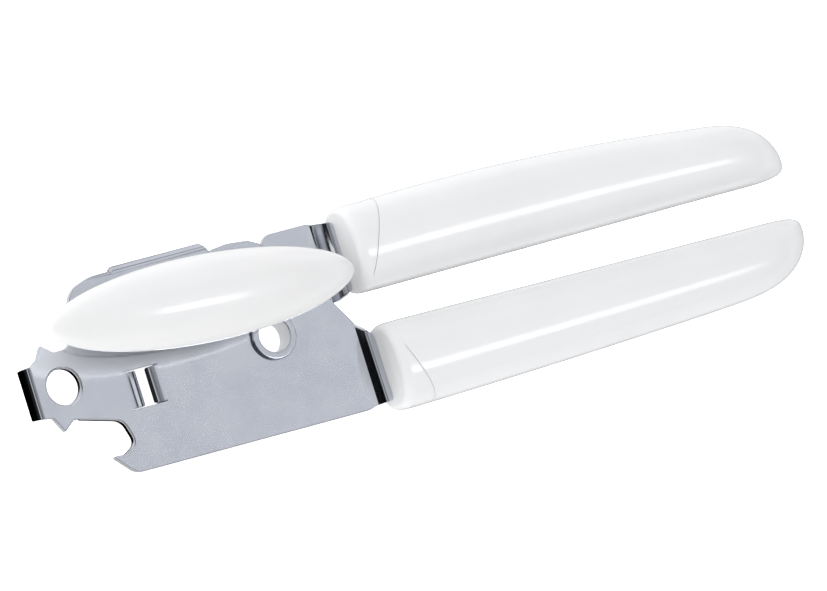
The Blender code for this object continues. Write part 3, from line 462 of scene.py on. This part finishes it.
def metal(name, stops, rough, streaks, streak_mm, bump_mm, bump, direction=(1, 1, 1), metallic=1.0):
    """Metal whose colour and roughness drift a little, with fine streaks and a slight ripple.

    Roughness runs from rough to rough + streaks, streak_mm is the streaks' spacing, direction stretches
    them, and bump_mm is the ripple's wavelength.
    """
    material, tree, shader, place = surface(name, Metallic=metallic)
    drift = add(tree, "ShaderNodeTexNoise", {"Vector": place}, Scale=1 / 0.009, Detail=3.0, Roughness=0.55)
    tree.links.new(ramp(tree, drift.outputs["Fac"], stops), shader.inputs["Base Color"])
    stretch = add(tree, "ShaderNodeMapping", {"Vector": place}, Scale=direction)
    along = stretch.outputs["Vector"]
    fine = add(tree, "ShaderNodeTexNoise", {"Vector": along}, Scale=1 / (streak_mm * MM), Detail=2.0)
    ranges = {"From_Min": 0.3, "From_Max": 0.7, "To_Min": rough, "To_Max": rough + streaks}
    roughness = add(tree, "ShaderNodeMapRange", {"Value": fine.outputs["Fac"]}, **ranges)
    tree.links.new(roughness.outputs["Result"], shader.inputs["Roughness"])
    ripple = add(tree, "ShaderNodeTexNoise", {"Vector": place}, Scale=1 / (bump_mm * MM), Detail=1.0)
    relief = add(tree, "ShaderNodeBump", {"Height": ripple.outputs["Fac"]}, Strength=bump, Distance=0.00002)
    tree.links.new(relief.outputs["Normal"], shader.inputs["Normal"])
    return material


def plastic(name, stops, rough):
    """Moulded plastic: an even colour with a slow drift, a polished mould's gloss and faint waviness."""
    material, tree, shader, place = surface(name, IOR=1.54, Specular_IOR_Level=0.5)
    drift = add(tree, "ShaderNodeTexNoise", {"Vector": place}, Scale=1 / 0.022, Detail=2.0)
    tree.links.new(ramp(tree, drift.outputs["Fac"], stops), shader.inputs["Base Color"])
    haze = add(tree, "ShaderNodeTexNoise", {"Vector": place}, Scale=1 / 0.004, Detail=3.0)
    ranges = {"From_Min": 0.3, "From_Max": 0.7, "To_Min": rough, "To_Max": rough + 0.06}
    roughness = add(tree, "ShaderNodeMapRange", {"Value": haze.outputs["Fac"]}, **ranges)
    tree.links.new(roughness.outputs["Result"], shader.inputs["Roughness"])
    waves = add(tree, "ShaderNodeTexNoise", {"Vector": place}, Scale=1 / 0.0035, Detail=1.0)
    relief = add(tree, "ShaderNodeBump", {"Height": waves.outputs["Fac"]}, Strength=0.12, Distance=0.00006)
    tree.links.new(relief.outputs["Normal"], shader.inputs["Normal"])
    return material


ACROSS_EDGE = (1, 1, 0.2)  # streaks that run through the sheet's thickness
# Bright chrome over pressed steel sheet: cool light grey, near a mirror, a little hazy along the rolling.
CHROME = metal(
    "chrome_plated_pressed_steel", [(0.35, "#CDD0D8"), (0.65, "#D3D6DD")],
    0.10, 0.04, 0.16, 2.4, 0.08, (0.06, 1, 1),
)
# The same plating over the torn edge a blanking tool leaves: scratched across the edge, so far duller.
SHEARED = metal(
    "chrome_plated_sheared_edge", [(0.35, "#DDDFE4"), (0.65, "#E6E8EC")],
    0.42, 0.16, 0.1, 0.4, 0.8, ACROSS_EDGE, metallic=0.55,
)
# The rivet's bore, which the plating bath hardly reaches: matt and light.
BORE = metal(
    "thinly_plated_bore", [(0.35, "#EDEEF0"), (0.65, "#F6F6F7")],
    0.45, 0.1, 0.2, 0.6, 0.3, ACROSS_EDGE, metallic=0.2,
)
# Chrome on the rolled rivet: the same plating over tighter curves, so a touch smoother.
CHROME_RIVET = metal(
    "chrome_plated_rolled_steel", [(0.35, "#CDD0D8"), (0.65, "#D3D6DD")], 0.08, 0.04, 0.2, 1.2, 0.2
)
# Blue-passivated zinc over turned and stamped steel: greyer and duller than chrome, slightly mottled.
ZINC = metal(
    "zinc_plated_steel", [(0.3, "#A7ABB2"), (0.5, "#B3B6BA"), (0.7, "#BDBDB9")], 0.26, 0.14, 0.25, 0.6, 0.4
)
# Hardened and ground tool steel: darker, with fine grinding lines.
TOOL_STEEL = metal(
    "hardened_ground_steel", [(0.35, "#8F9196"), (0.65, "#A2A4A8")],
    0.2, 0.18, 0.12, 0.5, 0.5, ACROSS_EDGE,
)
# Sintered bronze of the shaft's bearing: warm, matt and finely pored.
BRONZE = metal("sintered_bronze", [(0.3, "#8C6A3F"), (0.7, "#B08A55")], 0.34, 0.2, 0.2, 0.3, 0.8)
# Injection-moulded ABS with a polished-mould gloss: neutral white, clean reflections, faint flow waviness.
WHITE = plastic("white_moulded_abs", [(0.3, "#EBEBEB"), (0.7, "#EEEEEE")], 0.11)
# The same ABS on the knob, a shade warmer.
KNOB_WHITE = plastic("white_moulded_abs_knob", [(0.3, "#EBEBEA"), (0.7, "#EFEEED")], 0.11)


# ---------------------------------------------------------------- front arm
def tang_corners(front, side):
    """A tang from its outer shoulder round its end to its inner shoulder; side is -1 below, 1 above."""
    stop = front - GAP
    inner, outer = TANG_INNER + TANG_SHOULDER, TANG_OUTER - TANG_SHOULDER
    corners = [
        (stop, TANG_OUTER, 0.4), (stop + 0.4, outer, 0.25), (TANG_END, 16.0, 2.0),
        (TANG_END, 9.5, 2.0), (stop + 0.4, inner, 0.25), (stop, TANG_INNER, 0.4),
    ]
    return [(x, side * y, radius) for x, y, radius in corners]


END_DEPTH = 3.6  # how far the end flange reaches back from the front face
BEND_LENGTH = math.pi / 2 * (BEND + SHEET / 2)  # flat length that a flange's quarter turn takes up
END_FOLD = NOSE + BEND + SHEET
END_TAB = BEND_LENGTH + END_DEPTH - SHEET - BEND
TOP_FOLD = TOP_FACE - BEND - SHEET
TOP_TAB = BEND_LENGTH + CAN_GUIDE_DEPTH - SHEET - BEND
TOP_LEFT, TOP_RIGHT = SHAFT[0] - 12.6, SHAFT[0] + 13.4
LIP_START, LIP_END = 4, 7  # corners between which the crown-cap notch's edge is drawn backwards
ARC_LEFT = NOSE + 15.8

front_corners = [
    (END_FOLD - END_TAB, -4.6, 0.5), (NOSE + 3.8, -5.2, 0.8), (NOSE + 5.9, -9.1, 0.25),
    (NOSE + 9.0, -6.8, 1.0), (NOSE + 10.6, -7.2, 1.0), (NOSE + 21.0, -9.9, 3.4), (NOSE + 22.7, -15.8, 2.4),
    (NOSE + 19.1, -17.7, 1.4), (NOSE + 15.7, -17.5, 0.3), (NOSE + 20.6, HEAD_BOTTOM, 4.6),
    (19.0, HEAD_BOTTOM, 2.0), (21.0, -TANG_OUTER, 1.0),
    *tang_corners(LOWER_FRONT, -1), (LOWER_FRONT - 0.8, -TANG_INNER, 0.25), (17.5, 4.6, 2.0),
    (4.0, HEAD_TOP - 2.8, 2.0), (1.0, HEAD_TOP - 1.3, 2.0), (-4.5, HEAD_TOP - 0.8, 6.0),
    (TOP_RIGHT + 1.0, HEAD_TOP - 1.2, 0.4), (TOP_RIGHT + 0.4, TOP_FOLD - 0.7, 0.4),
    (TOP_RIGHT - 1.4, TOP_FOLD + BEND_LENGTH, 2.0), (TOP_RIGHT - 1.4, TOP_FOLD + TOP_TAB, 1.0),
    (TOP_LEFT + 4.0, TOP_FOLD + TOP_TAB, 1.0), (TOP_LEFT + 0.9, TOP_FOLD + BEND_LENGTH, 1.2),
    (TOP_LEFT, TOP_FOLD, 0.1), (TOP_LEFT - 0.2, HEAD_TOP, 0.2), (ARC_LEFT + 8.0, HEAD_TOP, 6.0),
    (ARC_LEFT + 2.4, HEAD_TOP - 1.7, 6.0), (ARC_LEFT, HEAD_TOP - 5.6, 3.0), (ARC_LEFT - 2.4, 9.6, 3.0),
    (NOSE + 8.9, 9.5, 0.8), (NOSE + 6.1, 11.8, 0.25), (NOSE + 4.4, 9.1, 0.8), (END_FOLD, 7.6, 0.5),
    (END_FOLD - END_TAB, 7.5, 0.5),
]
LOUVRE_RIGHT = -(math.hypot(*CUTTER[:2]) + 9.0 + GAP)
LOUVRE_LEFT, LOUVRE_LOW, LOUVRE_HIGH = LOUVRE_RIGHT - 8.8, -8.0, 0.6
LOUVRE_MID = (LOUVRE_LEFT + LOUVRE_RIGHT) / 2
LEFT_TAB, RIGHT_TAB = 3.4, 2.6  # flat lengths of the louvre's tabs
STEP = (LOWER_FRONT - 2.8, LOWER_FRONT - 1.2)
lines = (
    fold_lines(0, END_FOLD, -1, BEND, -10, 10)
    + fold_lines(1, TOP_FOLD, 1, BEND, -60, 10)
    + fold_lines(0, LOUVRE_LEFT, 1, LEFT_BEND, LOUVRE_LOW - 0.01, LOUVRE_HIGH + 0.01)
    + fold_lines(0, LOUVRE_RIGHT, -1, RIGHT_BEND, LOUVRE_LOW - 0.01, LOUVRE_HIGH + 0.01)
    + step_lines(*STEP, -24, 5)
)
outline, marks = path_with(lines, front_corners)
# The louvre's cut runs clockwise, round two tabs that fold back and leave an opening between them.
free = 0.25  # width of the slits beside the tabs
LEFT_END, RIGHT_END = LOUVRE_LEFT + LEFT_TAB, LOUVRE_RIGHT - RIGHT_TAB
louvre = [
    (LOUVRE_LEFT - 0.1, LOUVRE_LOW - free, 0.1), (LOUVRE_LEFT - 0.1, LOUVRE_LOW, 0.1),
    (LEFT_END, LOUVRE_LOW, 0.5), (LEFT_END, LOUVRE_HIGH, 0.5),
    (LOUVRE_LEFT - 0.1, LOUVRE_HIGH, 0.1), (LOUVRE_LEFT - 0.1, LOUVRE_HIGH + free, 0.1),
    (LOUVRE_RIGHT + 0.1, LOUVRE_HIGH + free, 0.1), (LOUVRE_RIGHT + 0.1, LOUVRE_HIGH, 0.1),
    (RIGHT_END, LOUVRE_HIGH, 0.5), (RIGHT_END, LOUVRE_LOW, 0.5),
    (LOUVRE_RIGHT + 0.1, LOUVRE_LOW, 0.1), (LOUVRE_RIGHT + 0.1, LOUVRE_LOW - free, 0.1),
]
louvre_path, _ = path_with(lines, louvre)
hang_path = circle(NOSE + 8.9, 1.2, 4.3, 128)  # the hanging hole
eye_path = circle(0, 0, RIVET_BORE)
bush_path = circle(SHAFT[0], SHAFT[1], BUSH_BORE)


def press_front(points):
    """The front arm's folds: end flange, can guide, the louvre's two tabs, and the step up to the grip."""
    far = 200
    points = fold_back(points, 0, END_FOLD, -1, BEND, (-far, END_FOLD, -far, far))
    points = fold_back(points, 1, TOP_FOLD, 1, BEND, (TOP_LEFT - 0.4, TOP_RIGHT + 0.6, TOP_FOLD, far))
    ends = (LOUVRE_LOW - 0.02, LOUVRE_HIGH + 0.02)
    points = fold_back(points, 0, LOUVRE_LEFT, 1, LEFT_BEND, (LOUVRE_LEFT, LOUVRE_MID, *ends))
    points = fold_back(points, 0, LOUVRE_RIGHT, -1, RIGHT_BEND, (LOUVRE_MID, LOUVRE_RIGHT, *ends))
    return step_up(points, *STEP, TANG_RISE, -SHEET / 2)


DRAWN_DEPTH, DRAWN_WALL = 1.9, 1.2  # how far a drawn edge reaches back, and how thick its wall is
deep = drawn_edge(DRAWN_DEPTH, 0.4, DRAWN_WALL)
flat_edge = stretched(plain_edge(1)[0], len(deep))
# The outline's edge blends by a smooth step from stamped to drawn and back.
amount = np.clip(np.minimum(marks - LIP_START + 0.6, LIP_END + 0.45 - marks) / 0.5, 0, 1)
amount = (amount * amount * (3 - 2 * amount))[:, None, None]
outline_edge = flat_edge * (1 - amount) + deep * amount
hang_edge = np.broadcast_to(drawn_edge(DRAWN_DEPTH, 0.5, DRAWN_WALL), (len(hang_path), len(deep), 2))
sheet(
    [outline, louvre_path, hang_path, eye_path, bush_path],
    [
        outline_edge, plain_edge(len(louvre_path), 0.1), hang_edge,
        plain_edge(len(eye_path)), plain_edge(len(bush_path)),
    ],
    lines, press_front,
    name="front_arm", body="front_frame", material=CHROME, slot="chrome_plate", stands_for=["front_plate"],
    sharp=50,
)


# ---------------------------------------------------------------- rear arm
HUB, BOSS = 11.0, 6.3
rear_corners = [
    (6.8, ARM_OUTER_EDGE, 2.6), (-3.0, HUB, 5.0), (CUTTER[0] + 1.0, CUTTER[1] + BOSS + 0.8, 2.0),
    (CUTTER[0] - BOSS, CUTTER[1] + BOSS * 0.8, 4.0), (CUTTER[0] - BOSS, CUTTER[1] - BOSS * 0.8, 5.0),
    (CUTTER[0] + 1.0, CUTTER[1] - BOSS - 0.6, 5.0), (7.0, -HUB, 8.0), (13.5, TANG_INNER - 1.4, 3.0),
    (20.0, TANG_INNER - 1.2, 0.8), *reversed(tang_corners(UPPER_FRONT, 1)), (18.0, ARM_OUTER_EDGE, 2.0),
]
REAR_STEP = (UPPER_FRONT - 3.9, UPPER_FRONT - 0.6)
rear_lines = step_lines(*REAR_STEP, 2, 26)
rear_path, _ = path_with(rear_lines, rear_corners)
rear_holes = [circle(0, 0, RIVET_BORE), circle(CUTTER[0], CUTTER[1], STUD_BORE, 64)]


def press_rear(points):
    """The rear arm lies behind the front one and steps up to the same height in its grip."""
    points = points + (0, 0, ARM_TOP)
    return step_up(points, *REAR_STEP, TANG_RISE - ARM_TOP, ARM_TOP - SHEET / 2)


sheet(
    [rear_path, *rear_holes], [plain_edge(len(p)) for p in (rear_path, *rear_holes)],
    rear_lines, press_rear,
    name="rear_arm_steel", body="rear_frame", material=CHROME, slot="chrome_plate", stands_for=["rear_arm"],
    sharp=50,
)


# ---------------------------------------------------------------- turned pieces
def node_ring(node, inner, body, centre):
    """Zinc-plated washer or sleeve that fills a CAD node's box round a bore, its edges a little rounded."""
    low, high = box(node)
    outer, edge = (high[0] - low[0]) / 2, 0.15
    corners = [(inner, low[2], edge), (outer, low[2], edge), (outer, high[2], edge), (inner, high[2], edge)]
    turned(
        rounded(corners, 30)[0], centre, name=node + "_turned", body=body, material=ZINC, slot="zinc_steel",
        stands_for=[node],
    )


rivet_low, rivet_high = box("pivot_rivet")
LIP = (rivet_high[0] - rivet_low[0]) / 2
ROLL = 0.7  # thickness of the rolled lips
BORE_RADIUS, TUBE = 4.0, 4.6  # inner and outer radius of the tube between the lips
eye = rounded([
    (BORE_RADIUS, 0.35, 0.9), (BORE_RADIUS, rivet_high[2], 0.75), (LIP, rivet_high[2], 0.38),
    (LIP, rivet_high[2] - ROLL, 0.3), (TUBE, rivet_high[2] - ROLL, 0.1), (TUBE, rivet_low[2] + ROLL, 0.1),
    (LIP, rivet_low[2] + ROLL, 0.3), (LIP, rivet_low[2], 0.38), (BORE_RADIUS, rivet_low[2], 0.75),
], 8)[0]
turned(
    eye, (0, 0), 128, BORE_RADIUS + 0.02, name="pivot_eyelet", body="front_frame", material=CHROME_RIVET,
    slot="chrome_plate", stands_for=["pivot_rivet"], second=BORE,
)
for node, bore, body, centre in (
    ("pivot_washer", RIVET_BORE, "front_frame", (0, 0)),
    ("thrust_washer", SHAFT_BORE, "knob_drive", SHAFT),
    ("feed_washer", SHAFT_BORE, "knob_drive", SHAFT),
    ("cutter_spacer", STUD_BORE, "rear_frame", CUTTER),
    ("cutter_washer", STUD_BORE, "rear_frame", CUTTER),
):
    node_ring(node, bore, body, centre)

# ---------------------------------------------------------------- remaining CAD nodes keep their shape
nodes = frame["nodes"]


def finish_nodes(material, *names):
    """Gives carried-over CAD nodes their finish."""
    for name in names:
        nodes[name].data.materials.clear()
        nodes[name].data.materials.append(material)


finish_nodes(ZINC, "drive_shaft", "knob_key", "feed_nut", "cutter_stud")
finish_nodes(TOOL_STEEL, "feed_wheel", "cutter_wheel")
finish_nodes(BRONZE, "shaft_bushing")
finish_nodes(KNOB_WHITE, "knob_base")


# ---------------------------------------------------------------- knob
KNOB_TURN = math.radians(-3.0)  # resting angle of its long axis from X
KNOB_LENGTH, KNOB_WIDTH, KNOB_HEIGHT = 81.0, 20.5, 13.6
KNOB_TOP = box("knob_shell")[1][2]
KNOB_MID = KNOB_TOP - KNOB_HEIGHT / 2
KNOB_POWER = 2.15  # power of the cross-section, 2 being an ellipse
MOUTH = (27.3, 7.1)  # half length and half width of the opening underneath
POCKET_TOP = 14.6  # ceiling of the hollow underneath


def knob_rings(columns=192, rows=56):
    """Boat-shaped shell: meridians climb from the mouth's edge over the widest line to the middle of the top.

    At a share u of the half length, the cross-section is a superellipse whose half width falls
    as (1 - u²)^0.53 and whose half height falls as (1 - u²)^0.5.
    """
    turn = np.linspace(0, 2 * math.pi, columns, endpoint=False)
    half = np.array((KNOB_LENGTH, KNOB_WIDTH, KNOB_HEIGHT)) / 2
    low = -np.arccos(1 / np.hypot(half[0] * np.cos(turn) / MOUTH[0], half[1] * np.sin(turn) / MOUTH[1]))
    share = 1 - (1 - np.linspace(0, 1, rows)) ** 1.3
    climb = low + (math.radians(89.7) - low) * share[:, None]
    u = np.cos(turn) * np.cos(climb)
    spread = np.sqrt(np.maximum(1 - u * u, 1e-12))
    across, up = np.sin(turn) * np.cos(climb) / spread, np.sin(climb) / spread
    y = half[1] * spread**1.06 * np.sign(across) * np.abs(across) ** (2 / KNOB_POWER)
    z = KNOB_MID + half[2] * spread * np.sign(up) * np.abs(up) ** (2 / KNOB_POWER)
    outer = np.stack((half[0] * u, y, z), -1)[::-1]
    edge = outer[-1]
    inset = edge * (0.985, 0.96, 1)
    wall = [inset + (0, 0, 0.15), inset + (0, 0, 1.0)]
    ceiling = inset * (1, 1, 0) + (0, 0, POCKET_TOP)
    return np.concatenate((outer, np.stack([*wall, ceiling, ceiling * (0.5, 0.5, 1)])))


def about_shaft(rings):
    """Turns rings to the knob's resting angle and carries them to the drive shaft's axis."""
    cos, sin = math.cos(KNOB_TURN), math.sin(KNOB_TURN)
    x, y, z = np.moveaxis(rings, -1, 0)
    return np.stack((SHAFT[0] + x * cos - y * sin, SHAFT[1] + x * sin + y * cos, z), -1)


skin(
    about_shaft(knob_rings()), name="knob_wing", body="knob_drive", material=KNOB_WHITE, slot="white_plastic",
    stands_for=["knob_shell"],
)


# ---------------------------------------------------------------- grips
INNER_FRONT, SPREAD = 4.0, 0.7  # inner side at the front, and how far it moves out towards the rear
OUTER_FRONT, OUTER_REAR = 24.9, 21.4  # outer side's straight line, before its bulge
BULGE_START, REAR_LENGTH = 30, 21.5  # where that line starts, and how far before the tip it ends
TIP_Y, TIP_LENGTH = 7.2, 36.2  # the line on which the sides meet, and the length they take to reach it
NOSE_ROUND, NOSE_INSET = 2.6, 1.61  # length and height of the round at the front
SEAM_INNER, SEAM_SLANT = 24.0, 0.42  # where the seam starts inside, and its lean per mm outwards
SEAM_GAP = 0.10
GRIP_POWER = 2.5  # power of the cross-section, 2 being an ellipse


def grip_section(x, front, belly):
    """Inner side, outer side and half thickness at x: long lines that round off at the nose and at the tip.

    The outer side is a straight line plus a parabola's bulge. Towards the tip each side closes on the tip's
    own line as a power curve, and at the nose all sides close by a quarter circle.
    """
    share = np.clip((x - BULGE_START) / (GRIP_TIP - REAR_LENGTH - BULGE_START), 0, None)
    bulge = np.where(share < 1, belly * 4 * share * (1 - share), 0)
    outer = OUTER_FRONT + (OUTER_REAR - OUTER_FRONT) * share + bulge
    inner = INNER_FRONT + SPREAD * np.minimum(share, 1)
    half = GRIP_HALF * (1 - 0.08 * np.minimum(share, 1))
    past = np.clip((x - GRIP_TIP) / TIP_LENGTH + 1, 0, 1)
    outer = TIP_Y + (outer - TIP_Y) * (1 - past**5.2) ** (1 / 1.75)
    inner = TIP_Y - (TIP_Y - inner) * np.sqrt(1 - past**14)
    half = half * np.sqrt(1 - past**7)
    short = np.clip(1 - (x - front) / NOSE_ROUND, 0, 1)
    inset = NOSE_INSET * (1 - np.sqrt(1 - short**2))
    return inner + inset, outer - inset, half - inset


def grip_ring(x, turn, front, side, belly, inset=0):
    """Superellipse across the grip at x, drawn in by inset."""
    inner, outer, half = grip_section(x, front, belly)
    cos, sin = np.cos(turn), np.sin(turn)
    y = (inner + outer) / 2 + ((outer - inner) / 2 - inset) * np.sign(cos) * np.abs(cos) ** (2 / GRIP_POWER)
    z = GRIP_MID + (half - inset) * np.sign(sin) * np.abs(sin) ** (2 / GRIP_POWER)
    return np.stack((x + 0 * turn, side * y, z), -1)


def seam_x(y, shift):
    """Slanted plane between collar and grip, which leans towards the tip as it goes outwards."""
    return SEAM_INNER + SEAM_SLANT * (np.abs(y) - INNER_FRONT) + shift


def on_seam(turn, front, side, belly, shift, inset):
    """Ring whose points lie on the seam plane, found by repeating x from y until it settles."""
    x = np.full_like(turn, 30.0)
    for _ in range(12):
        x = seam_x(grip_ring(x, turn, front, side, belly, inset)[..., 1], shift)
    return grip_ring(x, turn, front, side, belly, inset)


def grip(names, body, front, side, belly, columns=144):
    """Collar and grip sleeve of one handle, each a closed skin with a small round where they meet."""
    turn = np.linspace(0, 2 * math.pi, columns, endpoint=False)
    edge = [(0.16, 0.0), (0.05, 0.05), (0.0, 0.16)]  # inset and distance from the seam
    nose = front + NOSE_ROUND * (1 - np.cos(np.linspace(0, math.pi / 2, 12)))
    ends = [on_seam(turn, front, side, belly, -SEAM_GAP / 2 - back, inset) for inset, back in reversed(edge)]
    first = [grip_ring(np.full_like(turn, x), turn, front, side, belly) for x in nose]
    # Between the nose and the seam each point's x slides evenly from one to the other.
    spread = [
        grip_ring(nose[-1] + (np.maximum(ends[0][:, 0], nose[-1]) - nose[-1]) * t, turn, front, side, belly)
        for t in np.linspace(0.1, 0.9, 9)
    ]
    face = first[0] * (1, 0.4, 0.4) + (0, 0.6 * first[0][:, 1].mean(), 0.6 * GRIP_MID)
    skin(
        np.stack([face, *first, *spread, *ends]), name=names[0] + "_moulded", body=body, material=WHITE,
        slot="white_plastic", stands_for=[names[0]], sharp=60,
    )
    starts = [on_seam(turn, front, side, belly, SEAM_GAP / 2 + back, inset) for inset, back in edge]
    straight = GRIP_TIP - TIP_LENGTH
    long = [
        grip_ring(starts[-1][:, 0] + (straight - starts[-1][:, 0]) * t, turn, front, side, belly)
        for t in np.linspace(0.03, 1, 34)
    ]
    round_off = straight + TIP_LENGTH * np.sin(np.linspace(0.04, 0.5, 48) * math.pi)
    round_off = np.minimum(round_off, GRIP_TIP - TIP_CUT)
    tip = [grip_ring(np.full_like(turn, x), turn, front, side, belly) for x in round_off]
    skin(
        np.stack([*starts, *long, *tip]), name=names[1] + "_moulded", body=body, material=WHITE,
        slot="white_plastic", stands_for=[names[1]], sharp=60,
    )


grip(("lower_collar", "lower_grip"), "front_frame", LOWER_FRONT, -1, 0.3)
grip(("upper_collar", "upper_grip"), "rear_frame", UPPER_FRONT, 1, 1.6)


# ---------------------------------------------------------------- studio
FLOOR_HALF, FLOOR_DROP = 6.0, 0.0004  # half its side, and its clearance under the tool, in metres
plate = bpy.data.meshes.new("studio_floor")
under = cad_box[0].z - FLOOR_DROP
corners = [(x * FLOOR_HALF, y * FLOOR_HALF, under) for x, y in ((-1, -1), (1, -1), (1, 1), (-1, 1))]
plate.from_pydata(corners, [], [(0, 1, 2, 3)])
# White paint with a soft glow of its own.
white = linear("#FFFFFF")
paint = surface(
    "studio_floor_paint", Roughness=0.9, Specular_IOR_Level=0.0, Base_Color=white, Emission_Color=white,
    Emission_Strength=1.0,
)[0]
plate.materials.append(paint)
floor = bpy.data.objects.new("studio_floor", plate)
bpy.context.scene.collection.objects.link(floor)
floor.visible_glossy = False

world = bpy.data.worlds.new("studio_surround")
bpy.context.scene.world = world
world.use_nodes = True
sky = world.node_tree
back = sky.nodes["Background"]
direction = add(sky, "ShaderNodeTexCoord").outputs["Generated"]
axes = add(sky, "ShaderNodeSeparateXYZ", {"Vector": direction})


def math_node(operation, a, b=0.0, c=0.0):
    """Arithmetic on two or three sources, each a socket or a number."""
    node = add(sky, "ShaderNodeMath", operation=operation)
    for socket, source in zip(node.inputs, (a, b, c)):
        if isinstance(source, (int, float)):
            socket.default_value = source
        else:
            sky.links.new(source, socket)
    return node.outputs["Value"]


def grey_ramp(source, stops):
    """Grey ramp through stops of (position, value)."""
    node = add(sky, "ShaderNodeValToRGB", {"Fac": source})
    elements = node.color_ramp.elements
    for position, value in stops[2:]:
        elements.new(position)
    for element, (position, value) in zip(elements, sorted(stops)):
        element.position, element.color = position, (value, value, value, 1)
    return node.outputs["Color"]


# Lean is the angle from straight up towards +X, in half turns: 0.5 is up, 1 is the +X horizon. The ramp
# sets what the flat faces mirror (0.60 to 0.71) apart from the dark and light bands in the bends.
lean = math_node("DIVIDE", math_node("ARCTAN2", axes.outputs["X"], axes.outputs["Z"]), math.pi)
lean = math_node("ADD", lean, 0.5)
along = grey_ramp(lean, [
    (0.00, 0.02), (0.26, 0.02), (0.29, 0.75), (0.33, 0.85), (0.37, 0.10), (0.42, 0.18), (0.46, 0.38),
    (0.52, 0.38), (0.56, 0.62), (0.60, 0.78), (0.71, 0.78), (0.73, 0.04), (0.785, 0.04), (0.81, 1.0),
    (0.875, 1.0), (0.90, 0.03), (1.00, 0.02),
])
rise = grey_ramp(axes.outputs["Z"], [(0.0, 0.02), (0.16, 0.05), (0.34, 1.0), (1.0, 1.0)])
level = math_node("MULTIPLY", along, rise)
side_light = grey_ramp(axes.outputs["Y"], [(0.0, 0.0), (0.35, 0.0), (0.6, 0.9), (1.0, 0.9)])
level = math_node("MAXIMUM", level, side_light)
# Dark lines towards +Y stripe the can guide's bend.
stripes = grey_ramp(axes.outputs["Y"], [
    (0.00, 1.0), (0.18, 1.0), (0.24, 0.35), (0.32, 0.35), (0.38, 1.1), (0.60, 1.1), (0.66, 0.5), (0.74, 0.5),
    (0.80, 1.0), (1.00, 1.0),
])
level = math_node("MULTIPLY", level, stripes)
# A narrow bright strip overhead draws the long highlight on each grip and the short one on the knob.
strip = math_node("MULTIPLY", math_node("COMPARE", axes.outputs["Y"], -0.095, 0.075), 7.0)
strip = math_node("MULTIPLY", strip, math_node("COMPARE", lean, 0.6415, 0.0305))
level = math_node("MAXIMUM", level, strip)
tint = add(sky, "ShaderNodeMix", data_type="RGBA", blend_type="MULTIPLY")
tint.inputs["Factor"].default_value = 1.0
sky.links.new(level, tint.inputs["A"])
tint.inputs["B"].default_value = linear("#F7F9FD")
sky.links.new(tint.outputs["Result"], back.inputs["Color"])
back.inputs["Strength"].default_value = 1.0

target = Vector(((PIVOT + (38.6, 0.6, 0.0)) * MM).tolist())


def area_light(name, toward, distance, size, power):
    """Soft square light at a distance from the tool in a direction, facing it, and not seen in the metal."""
    data = bpy.data.lights.new(name, "AREA")
    data.shape = "RECTANGLE"
    data.size = data.size_y = size
    data.energy = power
    light = bpy.data.objects.new(name, data)
    bpy.context.scene.collection.objects.link(light)
    way = Vector(toward).normalized()
    light.location = target + way * distance
    light.rotation_euler = (-way).to_track_quat("-Z", "Y").to_euler()
    light.visible_glossy = False


for name, toward, power in (
    ("soft_above", (-0.25, 0.1, 0.9), 4.1), ("soft_left", (-0.9, 0.2, 0.4), 3.9),
    ("soft_right", (0.8, -0.3, 0.7), 2.1), ("soft_low", (-0.3, -1.0, 0.05), 4.5),
):
    area_light(name, toward, 1.0, 1.2, power)

# A very long lens from far away, so that parallel edges stay parallel.
camera = bpy.data.cameras.new("view")
camera.lens = 1000
camera.sensor_width = 36
camera.clip_start, camera.clip_end = 0.1, 50
eye_way = Vector((-0.472, -0.074, 0.877)).normalized()
up_way = Vector((0.228, 0.952, 0.203)).normalized()
right_way = up_way.cross(eye_way).normalized()
up_way = eye_way.cross(right_way)
viewer = bpy.data.objects.new("view", camera)
bpy.context.scene.collection.objects.link(viewer)
turn = Matrix((right_way, up_way, eye_way)).transposed().to_4x4()
FRAME_WIDTH = 0.1928  # metres across the view at the tool
distance = FRAME_WIDTH * camera.lens / camera.sensor_width
viewer.matrix_world = Matrix.Translation(target + eye_way * distance) @ turn
bpy.context.scene.camera = viewer
bpy.context.scene.view_settings.view_transform = "Standard"
